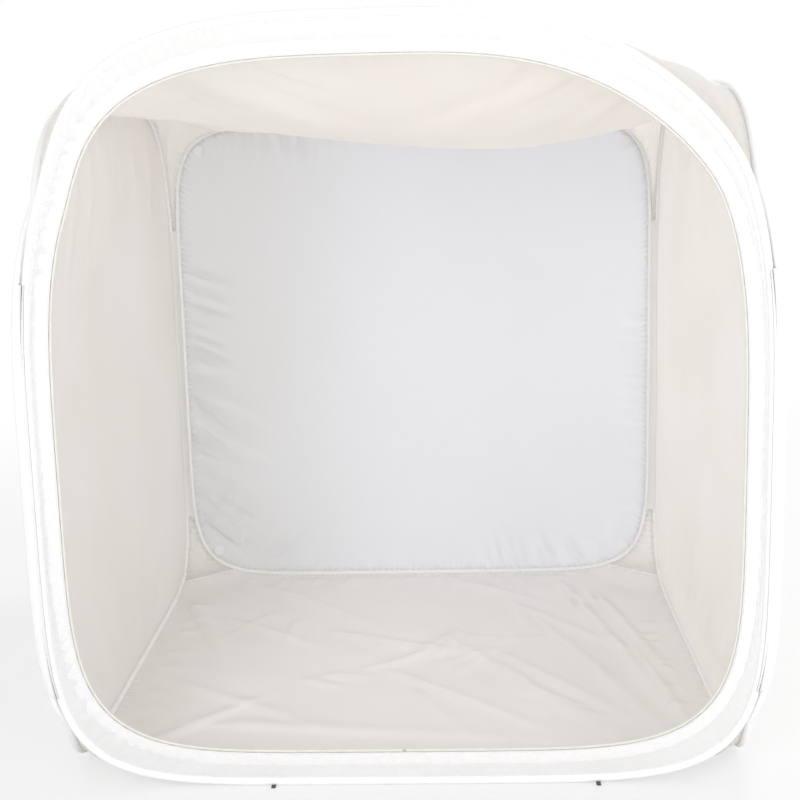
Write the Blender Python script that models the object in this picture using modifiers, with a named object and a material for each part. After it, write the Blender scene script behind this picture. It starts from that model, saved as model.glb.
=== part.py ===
"""Light tent cube: a pop-up diffusing tent for photographing small objects, open at the front.

Four upright spring-steel hoops, each closed by a crimped ferrule, run in cloth casings, one on each
side. Seams join each hoop to the next along the upright corners. The left, right and back hoops carry
stretched cloth walls, and the front hoop carries a border round the opening. A sagging ceiling, a floor
sheet and eight corner gussets close the rest. The hoops fold about the corner seams as a parallelogram.

Units are metres and +Z is up. The open front faces -Y, and the origin is on the ground, under the middle.
"""

import math
from typing import NamedTuple

import bmesh
import bpy
from mathutils import Vector

# Whole tent
TENT_DEPTH = 0.900  # between the wires of the front and back hoops
SEAM_HALF_WIDTH = 0.4475  # from the middle to the folding axes of the corner seams
WAIST_HEIGHT = 0.470  # where the upright runs of the hoops reach out most
CLEARANCE = 0.0003  # between pieces that are sewn or laid against each other
MERGE_DISTANCE = 0.00001  # joins the seam of a turned piece

# Hoops: the heights are those of the wire at the top of each hoop
FRONT_BOW = 0.0315  # how far the front hoop's wire reaches out past the folding axes
FRONT_TOP = 1.0145
FRONT_SHOULDER_SHARE = 0.606  # of the height from the waist to the top
FRONT_PEAK_SHIFT = -0.035  # the slack arch of the open hoop leans to its left above the shoulders
SIDE_TOP = 0.925
BACK_TOP = 0.885
WIRE_RADIUS = 0.0018
WIRE_END_GAP = 0.0010
FERRULE_LENGTH = 0.040
FERRULE_RADIUS = 0.0028
FERRULE_BORE_RADIUS = 0.0023
CASING_RADIUS = 0.0055
CASING_BORE_RADIUS = 0.0034
CASING_SLIT = 0.0008

# Squareness of an outline: 2 is an ellipse, and the corners tighten as it grows
FRONT_TOP_SQUARENESS = 3.15
FRONT_BOTTOM_SQUARENESS = 6.0
SIDE_TOP_SQUARENESS = 4.0
BACK_TOP_SQUARENESS = 8.0
BOTTOM_SQUARENESS = 8.0

# Points round a hoop, and where its corner gussets start, counted in steps from the waist
QUARTER_STEPS = 10
HALF_STEPS = 2 * QUARTER_STEPS
WHOLE_STEPS = 4 * QUARTER_STEPS
WIDE_CORNER_STEPS = 3
TIGHT_CORNER_STEPS = 2
GUSSET_ROWS = 5
GUSSET_COLUMNS = 3
TAPE_END_STEPS = 1.75

# Cloth
CLOTH_THICKNESS = 0.0008
WALL_BELLY = 0.008
WALL_FOLD_DEPTH = 0.003
WALL_FOLD_COUNT = 9
CEILING_LOW = 0.857  # lowest point of the sagging ceiling
CEILING_FOLD_DEPTH = 0.006
CEILING_FOLD_COUNT = 7
FLOOR_CREASE_HEIGHT = 0.004
FLOOR_CREASE_COUNT = 6
FLOOR_EDGE_SHARE = 0.9  # the floor lies flat up to here, then rises to the casings
SHEET_RING_SHARES = (1.0, 0.92, 0.80, 0.65, 0.50, 0.35, 0.20)
FLOOR_RING_SHARES = (1.0, 0.95, 0.90, 0.75, 0.60, 0.45, 0.30)

# Border of the opening, from the front wire to the hem: the edge that is seen, on its binding's inner side
BORDER_SIDE_WIDTH = 0.0345
BORDER_TOP_WIDTH = 0.0525
BORDER_BOTTOM_WIDTH = 0.0455
HEM_TOP_SQUARENESS = 3.2
HEM_BOTTOM_SQUARENESS = 5.5
BORDER_THICKNESS = 0.0012
BINDING_RADIUS = 0.0020
LOOP_TAPE_WIDTH = 0.020
LOOP_TAPE_THICKNESS = 0.0010

# Seams and small pieces
SEAM_TAPE_THICKNESS = 0.0010
SEAM_TAPE_HALF_ANGLE = math.radians(55)
COIN_RADIUS = 0.010
COIN_THICKNESS = 0.0020
COIN_MARGIN = 0.0030  # from the casing to the edge of a coin
TAB_WIDTH = 0.006
TAB_LENGTH = 0.010
TAB_THICKNESS = 0.0012
TAB_STEPS = (-10.7, -9.0)  # where they are sewn, in steps along the front hoop

# Round sections
WIRE_BEVEL_RESOLUTION = 1
PIPING_BEVEL_RESOLUTION = 2
FERRULE_SIDES = 8
CASING_OUTER_POINTS = 9
CASING_BORE_POINTS = 7
SEAM_TAPE_POINTS = 4
COIN_SIDES = 16

HALF_DEPTH = TENT_DEPTH / 2
WIRE_SPACING = 2 * (CASING_RADIUS + CLEARANCE) + SEAM_TAPE_THICKNESS
SIDE_PLANE = SEAM_HALF_WIDTH + WIRE_SPACING
CLOTH_REACH = CASING_RADIUS + CLEARANCE + CLOTH_THICKNESS / 2

WHITE_CLOTH = ((0.90, 0.89, 0.87), 0.75, 0.0)
BACK_CLOTH = ((0.86, 0.87, 0.89), 0.60, 0.0)
FLOOR_CLOTH = ((0.86, 0.83, 0.80), 0.35, 0.0)
BORDER_CLOTH = ((0.96, 0.96, 0.96), 0.70, 0.0)
LOOP_CLOTH = ((0.93, 0.92, 0.90), 0.95, 0.0)
CREAM_TAPE = ((0.93, 0.89, 0.74), 0.65, 0.0)
SPRING_STEEL = ((0.35, 0.36, 0.38), 0.35, 1.0)
FERRULE_BRASS = ((0.70, 0.58, 0.32), 0.35, 1.0)
WHITE_PLASTIC = ((0.95, 0.95, 0.94), 0.50, 0.0)
DARK_WEBBING = ((0.10, 0.09, 0.08), 0.85, 0.0)


class Outline(NamedTuple):
    """The rounded shape that a hoop or a hem follows in its upright plane."""

    half_width: float
    top: float
    bottom: float
    top_squareness: float
    bottom_squareness: float
    peak_shift: float = 0.0


class Side(NamedTuple):
    """One side of the tent: its heading is its turn about +Z from the front, seen from above."""

    name: str
    heading: float
    plane: float
    outline: Outline
    first_top_step: int
    first_bottom_step: int
    bows: bool


FRONT_OUTLINE = Outline(
    SEAM_HALF_WIDTH + FRONT_BOW,
    FRONT_TOP,
    CASING_RADIUS,
    FRONT_TOP_SQUARENESS,
    FRONT_BOTTOM_SQUARENESS,
    FRONT_PEAK_SHIFT,
)
WALL_SIDE_OUTLINE = Outline(HALF_DEPTH, SIDE_TOP, CASING_RADIUS, SIDE_TOP_SQUARENESS, BOTTOM_SQUARENESS)
BACK_OUTLINE = Outline(SEAM_HALF_WIDTH, BACK_TOP, CASING_RADIUS, BACK_TOP_SQUARENESS, BOTTOM_SQUARENESS)
HEM_OUTLINE = Outline(
    FRONT_OUTLINE.half_width - BORDER_SIDE_WIDTH,
    FRONT_OUTLINE.top - BORDER_TOP_WIDTH,
    FRONT_OUTLINE.bottom + BORDER_BOTTOM_WIDTH,
    HEM_TOP_SQUARENESS,
    HEM_BOTTOM_SQUARENESS,
    FRONT_PEAK_SHIFT,
)
FRONT = Side("front", 0.0, HALF_DEPTH, FRONT_OUTLINE, WIDE_CORNER_STEPS, WIDE_CORNER_STEPS, False)
RIGHT = Side("right", math.pi / 2, SIDE_PLANE, WALL_SIDE_OUTLINE, WIDE_CORNER_STEPS, TIGHT_CORNER_STEPS, True)
BACK = Side("back", math.pi, HALF_DEPTH, BACK_OUTLINE, TIGHT_CORNER_STEPS, TIGHT_CORNER_STEPS, False)
LEFT = RIGHT._replace(name="left", heading=3 * math.pi / 2)
SIDES = (FRONT, RIGHT, BACK, LEFT)

PIVOTS = {
    "back": Vector((0, 0, 0)),
    "left": Vector((-SEAM_HALF_WIDTH, HALF_DEPTH, 0)),
    "right": Vector((SEAM_HALF_WIDTH, HALF_DEPTH, 0)),
    "front": Vector((-SEAM_HALF_WIDTH, -HALF_DEPTH, 0)),
}


def clear_scene():
    for item in list(bpy.data.objects):
        bpy.data.objects.remove(item, do_unlink=True)


def make_collection(name):
    collection = bpy.data.collections.new(name)
    bpy.context.scene.collection.children.link(collection)
    return collection


def make_material(name, finish):
    colour, roughness, metallic = finish
    material = bpy.data.materials.new(name)
    material.use_nodes = True
    shader = material.node_tree.nodes["Principled BSDF"]
    shader.inputs["Base Color"].default_value = (*colour, 1)
    shader.inputs["Roughness"].default_value = roughness
    shader.inputs["Metallic"].default_value = metallic
    material.diffuse_color = (*colour, 1)
    return material


def make_body_axes(collection):
    """An empty for each body, on the axis that the body turns about, parented as the hoops are joined."""
    axes = {}
    for body, carrier in (("back", None), ("left", "back"), ("right", "back"), ("front", "left")):
        empty = bpy.data.objects.new(body + "_axis", None)
        collection.objects.link(empty)
        empty.location = PIVOTS[body]
        if carrier:
            empty.parent = axes[carrier]
            empty.location = PIVOTS[body] - PIVOTS[carrier]
        axes[body] = empty
    return axes


def squared_off(value, power):
    return math.copysign(round(abs(value), 9) ** power, value)


def smooth_step(share):
    share = min(max(share, 0.0), 1.0)
    return share * share * (3 - 2 * share)


def outline_point(outline, step):
    """A point (across, up) of an outline. Step 0 is the right waist and steps run anticlockwise."""
    turn = 2 * math.pi * step / WHOLE_STEPS
    above = math.sin(turn) > 0
    power = 2 / (outline.top_squareness if above else outline.bottom_squareness)
    reach = outline.top - WAIST_HEIGHT if above else WAIST_HEIGHT - outline.bottom
    rise = squared_off(math.sin(turn), power)
    lean = smooth_step((rise - FRONT_SHOULDER_SHARE) / (1 - FRONT_SHOULDER_SHARE))
    across = outline.half_width * squared_off(math.cos(turn), power) + outline.peak_shift * lean
    return Vector((across, WAIST_HEIGHT + reach * rise))


def point_along(outline, step):
    """A point on the chord between two outline points, for a step that isn't whole."""
    before = math.floor(step)
    return outline_point(outline, before).lerp(outline_point(outline, before + 1), step - before)


def seam_overhang(step):
    """How far a point of the front hoop bows out past the folding axis beside it."""
    return max(0.0, outline_point(FRONT_OUTLINE, step).x - SEAM_HALF_WIDTH)


def front_overhang(height):
    """The front hoop's overhang at a height, along its straight chords."""
    for step in range(-QUARTER_STEPS, QUARTER_STEPS):
        low = outline_point(FRONT_OUTLINE, step).y
        high = outline_point(FRONT_OUTLINE, step + 1).y
        if low <= height <= high:
            share = (height - low) / (high - low)
            return seam_overhang(step) + (seam_overhang(step + 1) - seam_overhang(step)) * share
    return 0.0


def bow_out(side, across, up):
    """The left and right sides bow outward towards the front, where they follow the front hoop."""
    if not side.bows:
        return 0.0
    towards_front = (HALF_DEPTH - across * math.sin(side.heading)) / TENT_DEPTH
    return front_overhang(up) * smooth_step(towards_front)


def place(side, across, up, outward=0.0):
    """The world place of a point in a side's plane, moved outward from the tent."""
    reach = side.plane + bow_out(side, across, up) + outward
    sine, cosine = math.sin(side.heading), math.cos(side.heading)
    return Vector((across * cosine + reach * sine, across * sine - reach * cosine, up))


def bow_heights():
    """Heights of the front hoop's points where it overhangs, and of the point past each end."""
    steps = range(-QUARTER_STEPS + 1, QUARTER_STEPS)
    return [
        outline_point(FRONT_OUTLINE, step).y
        for step in steps
        if max(seam_overhang(step + near) for near in (-1, 0, 1)) > 0
    ]


def wire_path(side):
    """The wire's points from the bottom middle, anticlockwise, with a bowed hoop's extra points."""
    first = -QUARTER_STEPS
    path = []
    for step in range(first, first + WHOLE_STEPS):
        here = outline_point(side.outline, step)
        there = outline_point(side.outline, step + 1)
        path.append(here)
        if side.bows and here.x * math.sin(side.heading) < 0:
            low, high = sorted((here.y, there.y))
            levels = [level for level in bow_heights() if low < level < high]
            levels.sort(reverse=here.y > there.y)
            path += [here.lerp(there, (level - here.y) / (there.y - here.y)) for level in levels]
    return path


def inset(path, distance):
    """The closed path moved towards its middle, with mitred corners."""
    moved = []
    for index, point in enumerate(path):
        back = (point - path[index - 1]).normalized()
        ahead = (path[(index + 1) % len(path)] - point).normalized()
        normal = Vector((-back.y - ahead.y, back.x + ahead.x)).normalized()
        mitre = normal.dot(Vector((-ahead.y, ahead.x)))
        moved.append(point + normal * (distance / mitre))
    return moved


def attach(item, body, axes, collection, material):
    item.parent = axes[body]
    item.data.materials.append(material)
    collection.objects.link(item)
    return item


def sheet_mesh(name, rows, body, centre=None, cyclic=True):
    """An open surface through rows of world points, seen from its body's axis, closed by a centre point."""
    surface = bmesh.new()
    grid = [[surface.verts.new(point - PIVOTS[body]) for point in row] for row in rows]
    for here, there in zip(grid, grid[1:]):
        for index in range(len(here) if cyclic else len(here) - 1):
            after = (index + 1) % len(here)
            surface.faces.new((here[index], here[after], there[after], there[index]))
    if centre is not None:
        middle = surface.verts.new(centre - PIVOTS[body])
        for index, corner in enumerate(grid[-1]):
            surface.faces.new((grid[-1][index - 1], corner, middle))
    bmesh.ops.recalc_face_normals(surface, faces=surface.faces)
    bmesh.ops.triangulate(surface, faces=surface.faces)
    mesh = bpy.data.meshes.new(name)
    surface.to_mesh(mesh)
    surface.free()
    mesh.shade_smooth()
    return mesh


def add_sheet(name, mesh, thickness, body, axes, collection, material):
    sheet = attach(bpy.data.objects.new(name, mesh), body, axes, collection, material)
    solid = sheet.modifiers.new("Cloth thickness", "SOLIDIFY")
    solid.thickness = thickness
    solid.offset = 0
    return sheet


def add_profile(name, points, guides):
    """A closed flat section for a swept piece, kept as a guide."""
    curve = bpy.data.curves.new(name, "CURVE")
    curve.dimensions = "2D"
    spline = curve.splines.new("POLY")
    spline.points.add(len(points) - 1)
    for target, (across, outward) in zip(spline.points, points):
        target.co = (across, outward, 0, 1)
    spline.use_cyclic_u = True
    guide = bpy.data.objects.new(name, curve)
    guide.hide_render = True
    guide.display_type = "WIRE"
    guides.objects.link(guide)
    return guide


def arc_points(radius, start, end, count):
    turns = [start + (end - start) * index / (count - 1) for index in range(count)]
    return [(radius * math.cos(turn), radius * math.sin(turn)) for turn in turns]


def casing_section(guides):
    """A round casing whose slit, where the cloth's seam goes in, faces the middle of the hoop."""
    outer_end = math.pi - math.asin(CASING_SLIT / 2 / CASING_RADIUS)
    bore_end = math.pi - math.asin(CASING_SLIT / 2 / CASING_BORE_RADIUS)
    outer = arc_points(CASING_RADIUS, outer_end, -outer_end, CASING_OUTER_POINTS)
    bore = arc_points(CASING_BORE_RADIUS, -bore_end, bore_end, CASING_BORE_POINTS)
    return add_profile("casing_section", outer + bore, guides)


def seam_tape_section(guides):
    """A tape that hugs the outer edge of a casing."""
    inner_radius = CASING_RADIUS + CLEARANCE
    inner = arc_points(inner_radius, -SEAM_TAPE_HALF_ANGLE, SEAM_TAPE_HALF_ANGLE, SEAM_TAPE_POINTS)
    outer_radius = inner_radius + SEAM_TAPE_THICKNESS
    outer = arc_points(outer_radius, SEAM_TAPE_HALF_ANGLE, -SEAM_TAPE_HALF_ANGLE, SEAM_TAPE_POINTS)
    return add_profile("seam_tape_section", inner + outer, guides)


def swept(name, side, path, cyclic, section=None, radius=0.0, resolution=0):
    """A curve along a path in a side's plane: local X is across, Y is up and Z is outward."""
    curve = bpy.data.curves.new(name, "CURVE")
    curve.dimensions = "3D"
    curve.twist_mode = "Z_UP"
    spline = curve.splines.new("POLY")
    spline.points.add(len(path) - 1)
    for target, point in zip(spline.points, path):
        target.co = (point.x, point.y, bow_out(side, point.x, point.y), 1)
    spline.use_cyclic_u = cyclic
    curve.use_fill_caps = not cyclic
    if section:
        curve.bevel_mode = "OBJECT"
        curve.bevel_object = section
    else:
        curve.bevel_depth = radius
        curve.bevel_resolution = resolution
    piece = bpy.data.objects.new(name, curve)
    piece.rotation_euler = (math.pi / 2, 0, side.heading)
    piece.location = place(side._replace(bows=False), 0, 0) - PIVOTS[side.name]
    return piece


def add_wire(side, axes, collection):
    """The open spring-steel loop, whose two ends meet in the ferrule at the bottom."""
    path = wire_path(side)
    end = Vector((WIRE_END_GAP / 2, 0))
    path = [path[0] + end, *path[1:], path[0] - end]
    name = side.name + "_hoop_wire"
    wire = swept(name, side, path, False, radius=WIRE_RADIUS, resolution=WIRE_BEVEL_RESOLUTION)
    attach(wire, side.name, axes, collection, make_material(name, SPRING_STEEL))


def add_ferrule(side, axes, collection):
    """A crimped tube round the wire's ends, turned from its section about its own length."""
    name = side.name + "_hoop_ferrule"
    half = FERRULE_LENGTH / 2
    corners = (
        (FERRULE_RADIUS, 0, half),
        (FERRULE_RADIUS, 0, -half),
        (FERRULE_BORE_RADIUS, 0, -half),
        (FERRULE_BORE_RADIUS, 0, half),
    )
    mesh = bpy.data.meshes.new(name)
    mesh.from_pydata(corners, [(0, 1), (1, 2), (2, 3), (3, 0)], [])
    ferrule = bpy.data.objects.new(name, mesh)
    turned = ferrule.modifiers.new("Turned section", "SCREW")
    turned.steps = FERRULE_SIDES
    turned.render_steps = FERRULE_SIDES
    turned.use_merge_vertices = True
    turned.merge_threshold = MERGE_DISTANCE
    ferrule.rotation_euler = (0, math.pi / 2, side.heading)
    ferrule.location = place(side._replace(bows=False), 0, side.outline.bottom) - PIVOTS[side.name]
    attach(ferrule, side.name, axes, collection, make_material(name, FERRULE_BRASS))


def add_casing(side, section, axes, collection):
    name = side.name + "_hoop_casing"
    casing = swept(name, side, wire_path(side), True, section=section)
    finish = BORDER_CLOTH if side is FRONT else WHITE_CLOTH
    attach(casing, side.name, axes, collection, make_material(name, finish))


def wall_lift(share, turn):
    """Outward lift of a wall: a shallow belly into the tent, and folds that fan towards the casing."""
    folds = math.cos(WALL_FOLD_COUNT * turn) * 4 * share**2 * (1 - share**2)
    return WALL_FOLD_DEPTH * folds - WALL_BELLY * (1 - share**2)


def add_wall(side, axes, collection):
    name = side.name + "_wall"
    loop = inset(wire_path(side), CASING_RADIUS + CLEARANCE)
    middle = Vector((0, WAIST_HEIGHT))
    rows = []
    for share in SHEET_RING_SHARES:
        row = []
        for point in loop:
            reach = point - middle
            spot = middle + reach * share
            row.append(place(side, spot.x, spot.y, wall_lift(share, math.atan2(reach.y, reach.x))))
        rows.append(row)
    centre = place(side, middle.x, middle.y, wall_lift(0.0, 0.0))
    mesh = sheet_mesh(name, rows, side.name, centre)
    finish = BACK_CLOTH if side is BACK else WHITE_CLOTH
    add_sheet(name, mesh, CLOTH_THICKNESS, side.name, axes, collection, make_material(name, finish))


def edge_step(side, top, row):
    """The step of a gusset row on a side's right edge. The left edge mirrors it."""
    return side.first_top_step + row if top else -(side.first_bottom_step + row)


def inner_edge_point(side, step):
    """A point on the tent's inner face of a casing, where a cloth edge is sewn."""
    across, up = point_along(side.outline, step)
    return place(side, across, up, -CLOTH_REACH)


def gusset_row_steps(near, far, top):
    """Rows of a gusset, in steps from its tip: whole steps, and the bends of a bowed hoop between them."""
    rows = set(range(GUSSET_ROWS + 1))
    for side in (near, far):
        for row in range(GUSSET_ROWS if side.bows and FRONT in (near, far) else 0):
            here = outline_point(side.outline, edge_step(side, top, row)).y
            there = outline_point(side.outline, edge_step(side, top, row + 1)).y
            levels = (level for level in bow_heights() if min(here, there) < level < max(here, there))
            rows.update(row + (level - here) / (there - here) for level in levels)
    return sorted(rows)


def corner_ends(near, far, top, row):
    """The two casing points that a gusset row joins, at the corner right of the near side."""
    near_step = edge_step(near, top, row)
    far_step = HALF_STEPS - edge_step(far, top, row)
    return inner_edge_point(near, near_step), inner_edge_point(far, far_step)


def line_points(start, end, segments):
    return [start.lerp(end, index / segments) for index in range(segments + 1)]


def sheet_loop(top):
    """The outline of the ceiling or floor: a run along each casing and a cut across each corner."""
    middle = Vector((0, 0, CEILING_LOW if top else 0))
    ease = CLOTH_THICKNESS + CLEARANCE
    loop = []
    for near, far in zip(SIDES, SIDES[1:] + SIDES[:1]):
        last = edge_step(near, top, GUSSET_ROWS)
        turn = 1 if top else -1
        loop += [inner_edge_point(near, step) for step in range(HALF_STEPS - last - turn, last, -turn)]
        for point in line_points(*corner_ends(near, far, top, GUSSET_ROWS), GUSSET_COLUMNS):
            loop.append(point - (point - middle).normalized() * ease)
    return loop


def add_ceiling(axes, collection):
    """The ceiling hangs in a shallow bowl between the hoops, with a few broad folds."""
    rows = []
    for share in SHEET_RING_SHARES:
        row = []
        for edge in sheet_loop(True):
            folds = math.cos(CEILING_FOLD_COUNT * math.atan2(edge.y, edge.x)) * 4 * share**2 * (1 - share**2)
            height = CEILING_LOW + (edge.z - CEILING_LOW) * share**2 + CEILING_FOLD_DEPTH * folds
            row.append(Vector((edge.x * share, edge.y * share, height)))
        rows.append(row)
    mesh = sheet_mesh("ceiling_sheet", rows, "back", Vector((0, 0, CEILING_LOW)))
    material = make_material("ceiling_sheet", WHITE_CLOTH)
    add_sheet("ceiling_sheet", mesh, CLOTH_THICKNESS, "back", axes, collection, material)


def add_floor(axes, collection):
    """The floor lies on the ground, creased, and rises at its edge to the casings."""
    level = CLOTH_THICKNESS / 2
    flat_share = FLOOR_RING_SHARES[-1]
    rows = []
    for share in FLOOR_RING_SHARES:
        row = []
        for edge in sheet_loop(False):
            rise = max(0.0, (share - FLOOR_EDGE_SHARE) / (1 - FLOOR_EDGE_SHARE)) ** 2
            ridge = max(0.0, math.cos(FLOOR_CREASE_COUNT * math.atan2(edge.y, edge.x)))
            window = max(0.0, (share - flat_share) * (FLOOR_EDGE_SHARE - share)) / (1 - flat_share) ** 2
            height = level + (edge.z - level) * rise + 4 * FLOOR_CREASE_HEIGHT * ridge * window
            row.append(Vector((edge.x * share, edge.y * share, height)))
        rows.append(row)
    mesh = sheet_mesh("floor_sheet", rows, "back", Vector((0, 0, level)))
    material = make_material("floor_sheet", FLOOR_CLOTH)
    add_sheet("floor_sheet", mesh, CLOTH_THICKNESS, "back", axes, collection, material)


def add_gusset(near, far, top, axes, collection):
    """The three-cornered cloth between the rounded corners of two hoops and the ceiling or floor."""
    corner = {FRONT: "front_right", RIGHT: "back_right", BACK: "back_left", LEFT: "front_left"}[near]
    name = corner + ("_top_gusset" if top else "_bottom_gusset")
    body = {FRONT: "right", RIGHT: "back", BACK: "back", LEFT: "left"}[near]
    row_steps = gusset_row_steps(near, far, top)
    rows = [line_points(*corner_ends(near, far, top, row), GUSSET_COLUMNS) for row in row_steps]
    mesh = sheet_mesh(name, rows, body, cyclic=False)
    add_sheet(name, mesh, CLOTH_THICKNESS, body, axes, collection, make_material(name, WHITE_CLOTH))


def add_seam_tapes(side, section, axes, collection):
    """The tapes that join this hoop's casing to its neighbours', along its two upright runs."""
    last = math.floor(TAPE_END_STEPS)
    for end, centre_step in (("right", 0), ("left", HALF_STEPS)):
        offsets = (-TAPE_END_STEPS, *range(-last, last + 1), TAPE_END_STEPS)
        steps = [centre_step + offset for offset in offsets]
        path = [point_along(side.outline, step) for step in steps]
        seen_end = end if side is FRONT else {"right": "left", "left": "right"}[end]
        name = f"{side.name}_{seen_end}_seam_tape"
        tape = swept(name, side, path, False, section=section)
        attach(tape, side.name, axes, collection, make_material(name, BORDER_CLOTH))


def ring_rows(outer, inner, outward=0.0):
    """The two edges of a flat ring in the front plane, in the world."""
    return [[place(FRONT, point.x, point.y, outward) for point in loop] for loop in (outer, inner)]


def outline_path(outline):
    return [outline_point(outline, step) for step in range(WHOLE_STEPS)]


def add_border(axes, collection):
    """The white cloth between the front casing and the binding of the hem."""
    outer = inset(outline_path(FRONT_OUTLINE), CASING_RADIUS + CLEARANCE)
    inner = inset(outline_path(HEM_OUTLINE), -(2 * BINDING_RADIUS + CLEARANCE))
    mesh = sheet_mesh("front_border", ring_rows(outer, inner), "front")
    material = make_material("front_border", BORDER_CLOTH)
    add_sheet("front_border", mesh, BORDER_THICKNESS, "front", axes, collection, material)


def add_loop_tape(axes, collection):
    """The soft fastening tape on the face of the border, next to the binding, for a front cover."""
    hem = outline_path(HEM_OUTLINE)
    start = 2 * BINDING_RADIUS + CLEARANCE
    outward = (BORDER_THICKNESS + LOOP_TAPE_THICKNESS) / 2 + CLEARANCE
    rows = ring_rows(inset(hem, -start - LOOP_TAPE_WIDTH), inset(hem, -start), outward)
    mesh = sheet_mesh("front_loop_tape", rows, "front")
    material = make_material("front_loop_tape", LOOP_CLOTH)
    add_sheet("front_loop_tape", mesh, LOOP_TAPE_THICKNESS, "front", axes, collection, material)


def add_binding(axes, collection):
    """The cream piping that finishes the opening's hem."""
    path = inset(outline_path(HEM_OUTLINE), -BINDING_RADIUS)
    piping = swept(
        "opening_binding", FRONT, path, True, radius=BINDING_RADIUS, resolution=PIPING_BEVEL_RESOLUTION
    )
    attach(piping, "front", axes, collection, make_material("opening_binding", CREAM_TAPE))


def add_backdrop_coins(axes, collection):
    """A hook-tape coin in each corner of the back wall's inner face, to hold a backdrop sheet."""
    corner = QUARTER_STEPS // 2
    names = ("left_top", "right_top", "right_bottom", "left_bottom")
    for name_end, quarter in zip(names, range(4)):
        edge = outline_point(BACK_OUTLINE, corner + quarter * QUARTER_STEPS)
        middle = Vector((0, WAIST_HEIGHT))
        reach = edge - middle
        inward = CASING_RADIUS + COIN_MARGIN + COIN_RADIUS
        spot = edge - Vector((math.copysign(1, reach.x), math.copysign(1, reach.y))).normalized() * inward
        share = (spot - middle).length / reach.length
        lift = wall_lift(share, math.atan2(reach.y, reach.x)) - CLOTH_THICKNESS / 2 - 2 * CLEARANCE
        name = name_end + "_backdrop_coin"
        disc = bmesh.new()
        bmesh.ops.create_cone(
            disc,
            cap_ends=True,
            segments=COIN_SIDES,
            radius1=COIN_RADIUS,
            radius2=COIN_RADIUS,
            depth=COIN_THICKNESS,
        )
        mesh = bpy.data.meshes.new(name)
        disc.to_mesh(mesh)
        disc.free()
        coin = bpy.data.objects.new(name, mesh)
        coin.rotation_euler = (math.pi / 2, 0, BACK.heading)
        coin.location = place(BACK, spot.x, spot.y, lift - COIN_THICKNESS / 2)
        attach(coin, "back", axes, collection, make_material(name, WHITE_PLASTIC))


def add_tie_tabs(axes, collection):
    """Two short dark tabs sewn low on the front casing, against the facet beside its lowest line."""
    facet = (math.pi - math.asin(CASING_SLIT / 2 / CASING_RADIUS)) / (CASING_OUTER_POINTS - 1)
    ahead = TAB_THICKNESS / math.tan(facet) + CLEARANCE
    for name, step in zip(("left_tie_tab", "right_tie_tab"), TAB_STEPS):
        block = bmesh.new()
        bmesh.ops.create_cube(block, size=1)
        bmesh.ops.scale(block, verts=block.verts, vec=(TAB_WIDTH, TAB_LENGTH, TAB_THICKNESS))
        mesh = bpy.data.meshes.new(name)
        block.to_mesh(mesh)
        block.free()
        tab = bpy.data.objects.new(name, mesh)
        spot = point_along(FRONT_OUTLINE, step)
        before = math.floor(step)
        run = outline_point(FRONT_OUTLINE, before + 1) - outline_point(FRONT_OUTLINE, before)
        height = spot.y - CASING_RADIUS + TAB_THICKNESS / 2
        tab.location = place(FRONT, spot.x, height, ahead + TAB_LENGTH / 2) - PIVOTS["front"]
        tab.rotation_euler.y = -math.atan2(run.y, run.x)
        attach(tab, "front", axes, collection, make_material(name, DARK_WEBBING))


def build_light_tent():
    clear_scene()
    collection = make_collection("light_tent_cube")
    guides = make_collection("sections")
    axes = make_body_axes(collection)
    casing = casing_section(guides)
    tape = seam_tape_section(guides)
    for side in SIDES:
        add_wire(side, axes, collection)
        add_ferrule(side, axes, collection)
        add_casing(side, casing, axes, collection)
        if side is not FRONT:
            add_wall(side, axes, collection)
    for side in (FRONT, BACK):
        add_seam_tapes(side, tape, axes, collection)
    for near, far in zip(SIDES, SIDES[1:] + SIDES[:1]):
        add_gusset(near, far, True, axes, collection)
        add_gusset(near, far, False, axes, collection)
    add_ceiling(axes, collection)
    add_floor(axes, collection)
    add_border(axes, collection)
    add_loop_tape(axes, collection)
    add_binding(axes, collection)
    add_backdrop_coins(axes, collection)
    add_tie_tabs(axes, collection)


build_light_tent()
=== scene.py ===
"""The looks of the light tent cube: cloth, casings, trims, stitches and finishes round the packed frame.

The tent stands on the ground with its open front facing -Y. Four rounded hoops stand on its sides, and
each outline here repeats the rule of the solid one. Cloth is made on grids of points, and share is 1 at
the edge of a sheet and 0 in its middle. Units are metres, +Z is up, and the origin is on the ground under
the middle.
"""

import math
from functools import cache
from typing import NamedTuple

import bpy
import numpy as np
from bpy.props import FloatProperty, FloatVectorProperty, PointerProperty
from mathutils import Matrix, Vector


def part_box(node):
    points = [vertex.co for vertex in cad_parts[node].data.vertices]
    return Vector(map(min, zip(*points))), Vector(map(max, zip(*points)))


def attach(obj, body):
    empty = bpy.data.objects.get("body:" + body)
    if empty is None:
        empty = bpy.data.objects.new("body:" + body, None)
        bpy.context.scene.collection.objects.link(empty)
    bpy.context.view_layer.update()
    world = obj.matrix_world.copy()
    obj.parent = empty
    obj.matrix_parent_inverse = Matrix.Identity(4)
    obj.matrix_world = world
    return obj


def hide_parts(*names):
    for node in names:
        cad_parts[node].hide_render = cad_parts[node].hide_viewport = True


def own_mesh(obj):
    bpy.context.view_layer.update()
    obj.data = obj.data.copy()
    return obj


bl_info = {
    "name": "Light Tent Cube",
    "version": (1, 0, 0),
    "blender": (4, 5, 0),
    "location": "3D View > Sidebar > Light Tent",
    "description": "Dresses the packed frame of a pop-up light tent in fine cloth, trims and finishes",
    "category": "Object",
}

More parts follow.
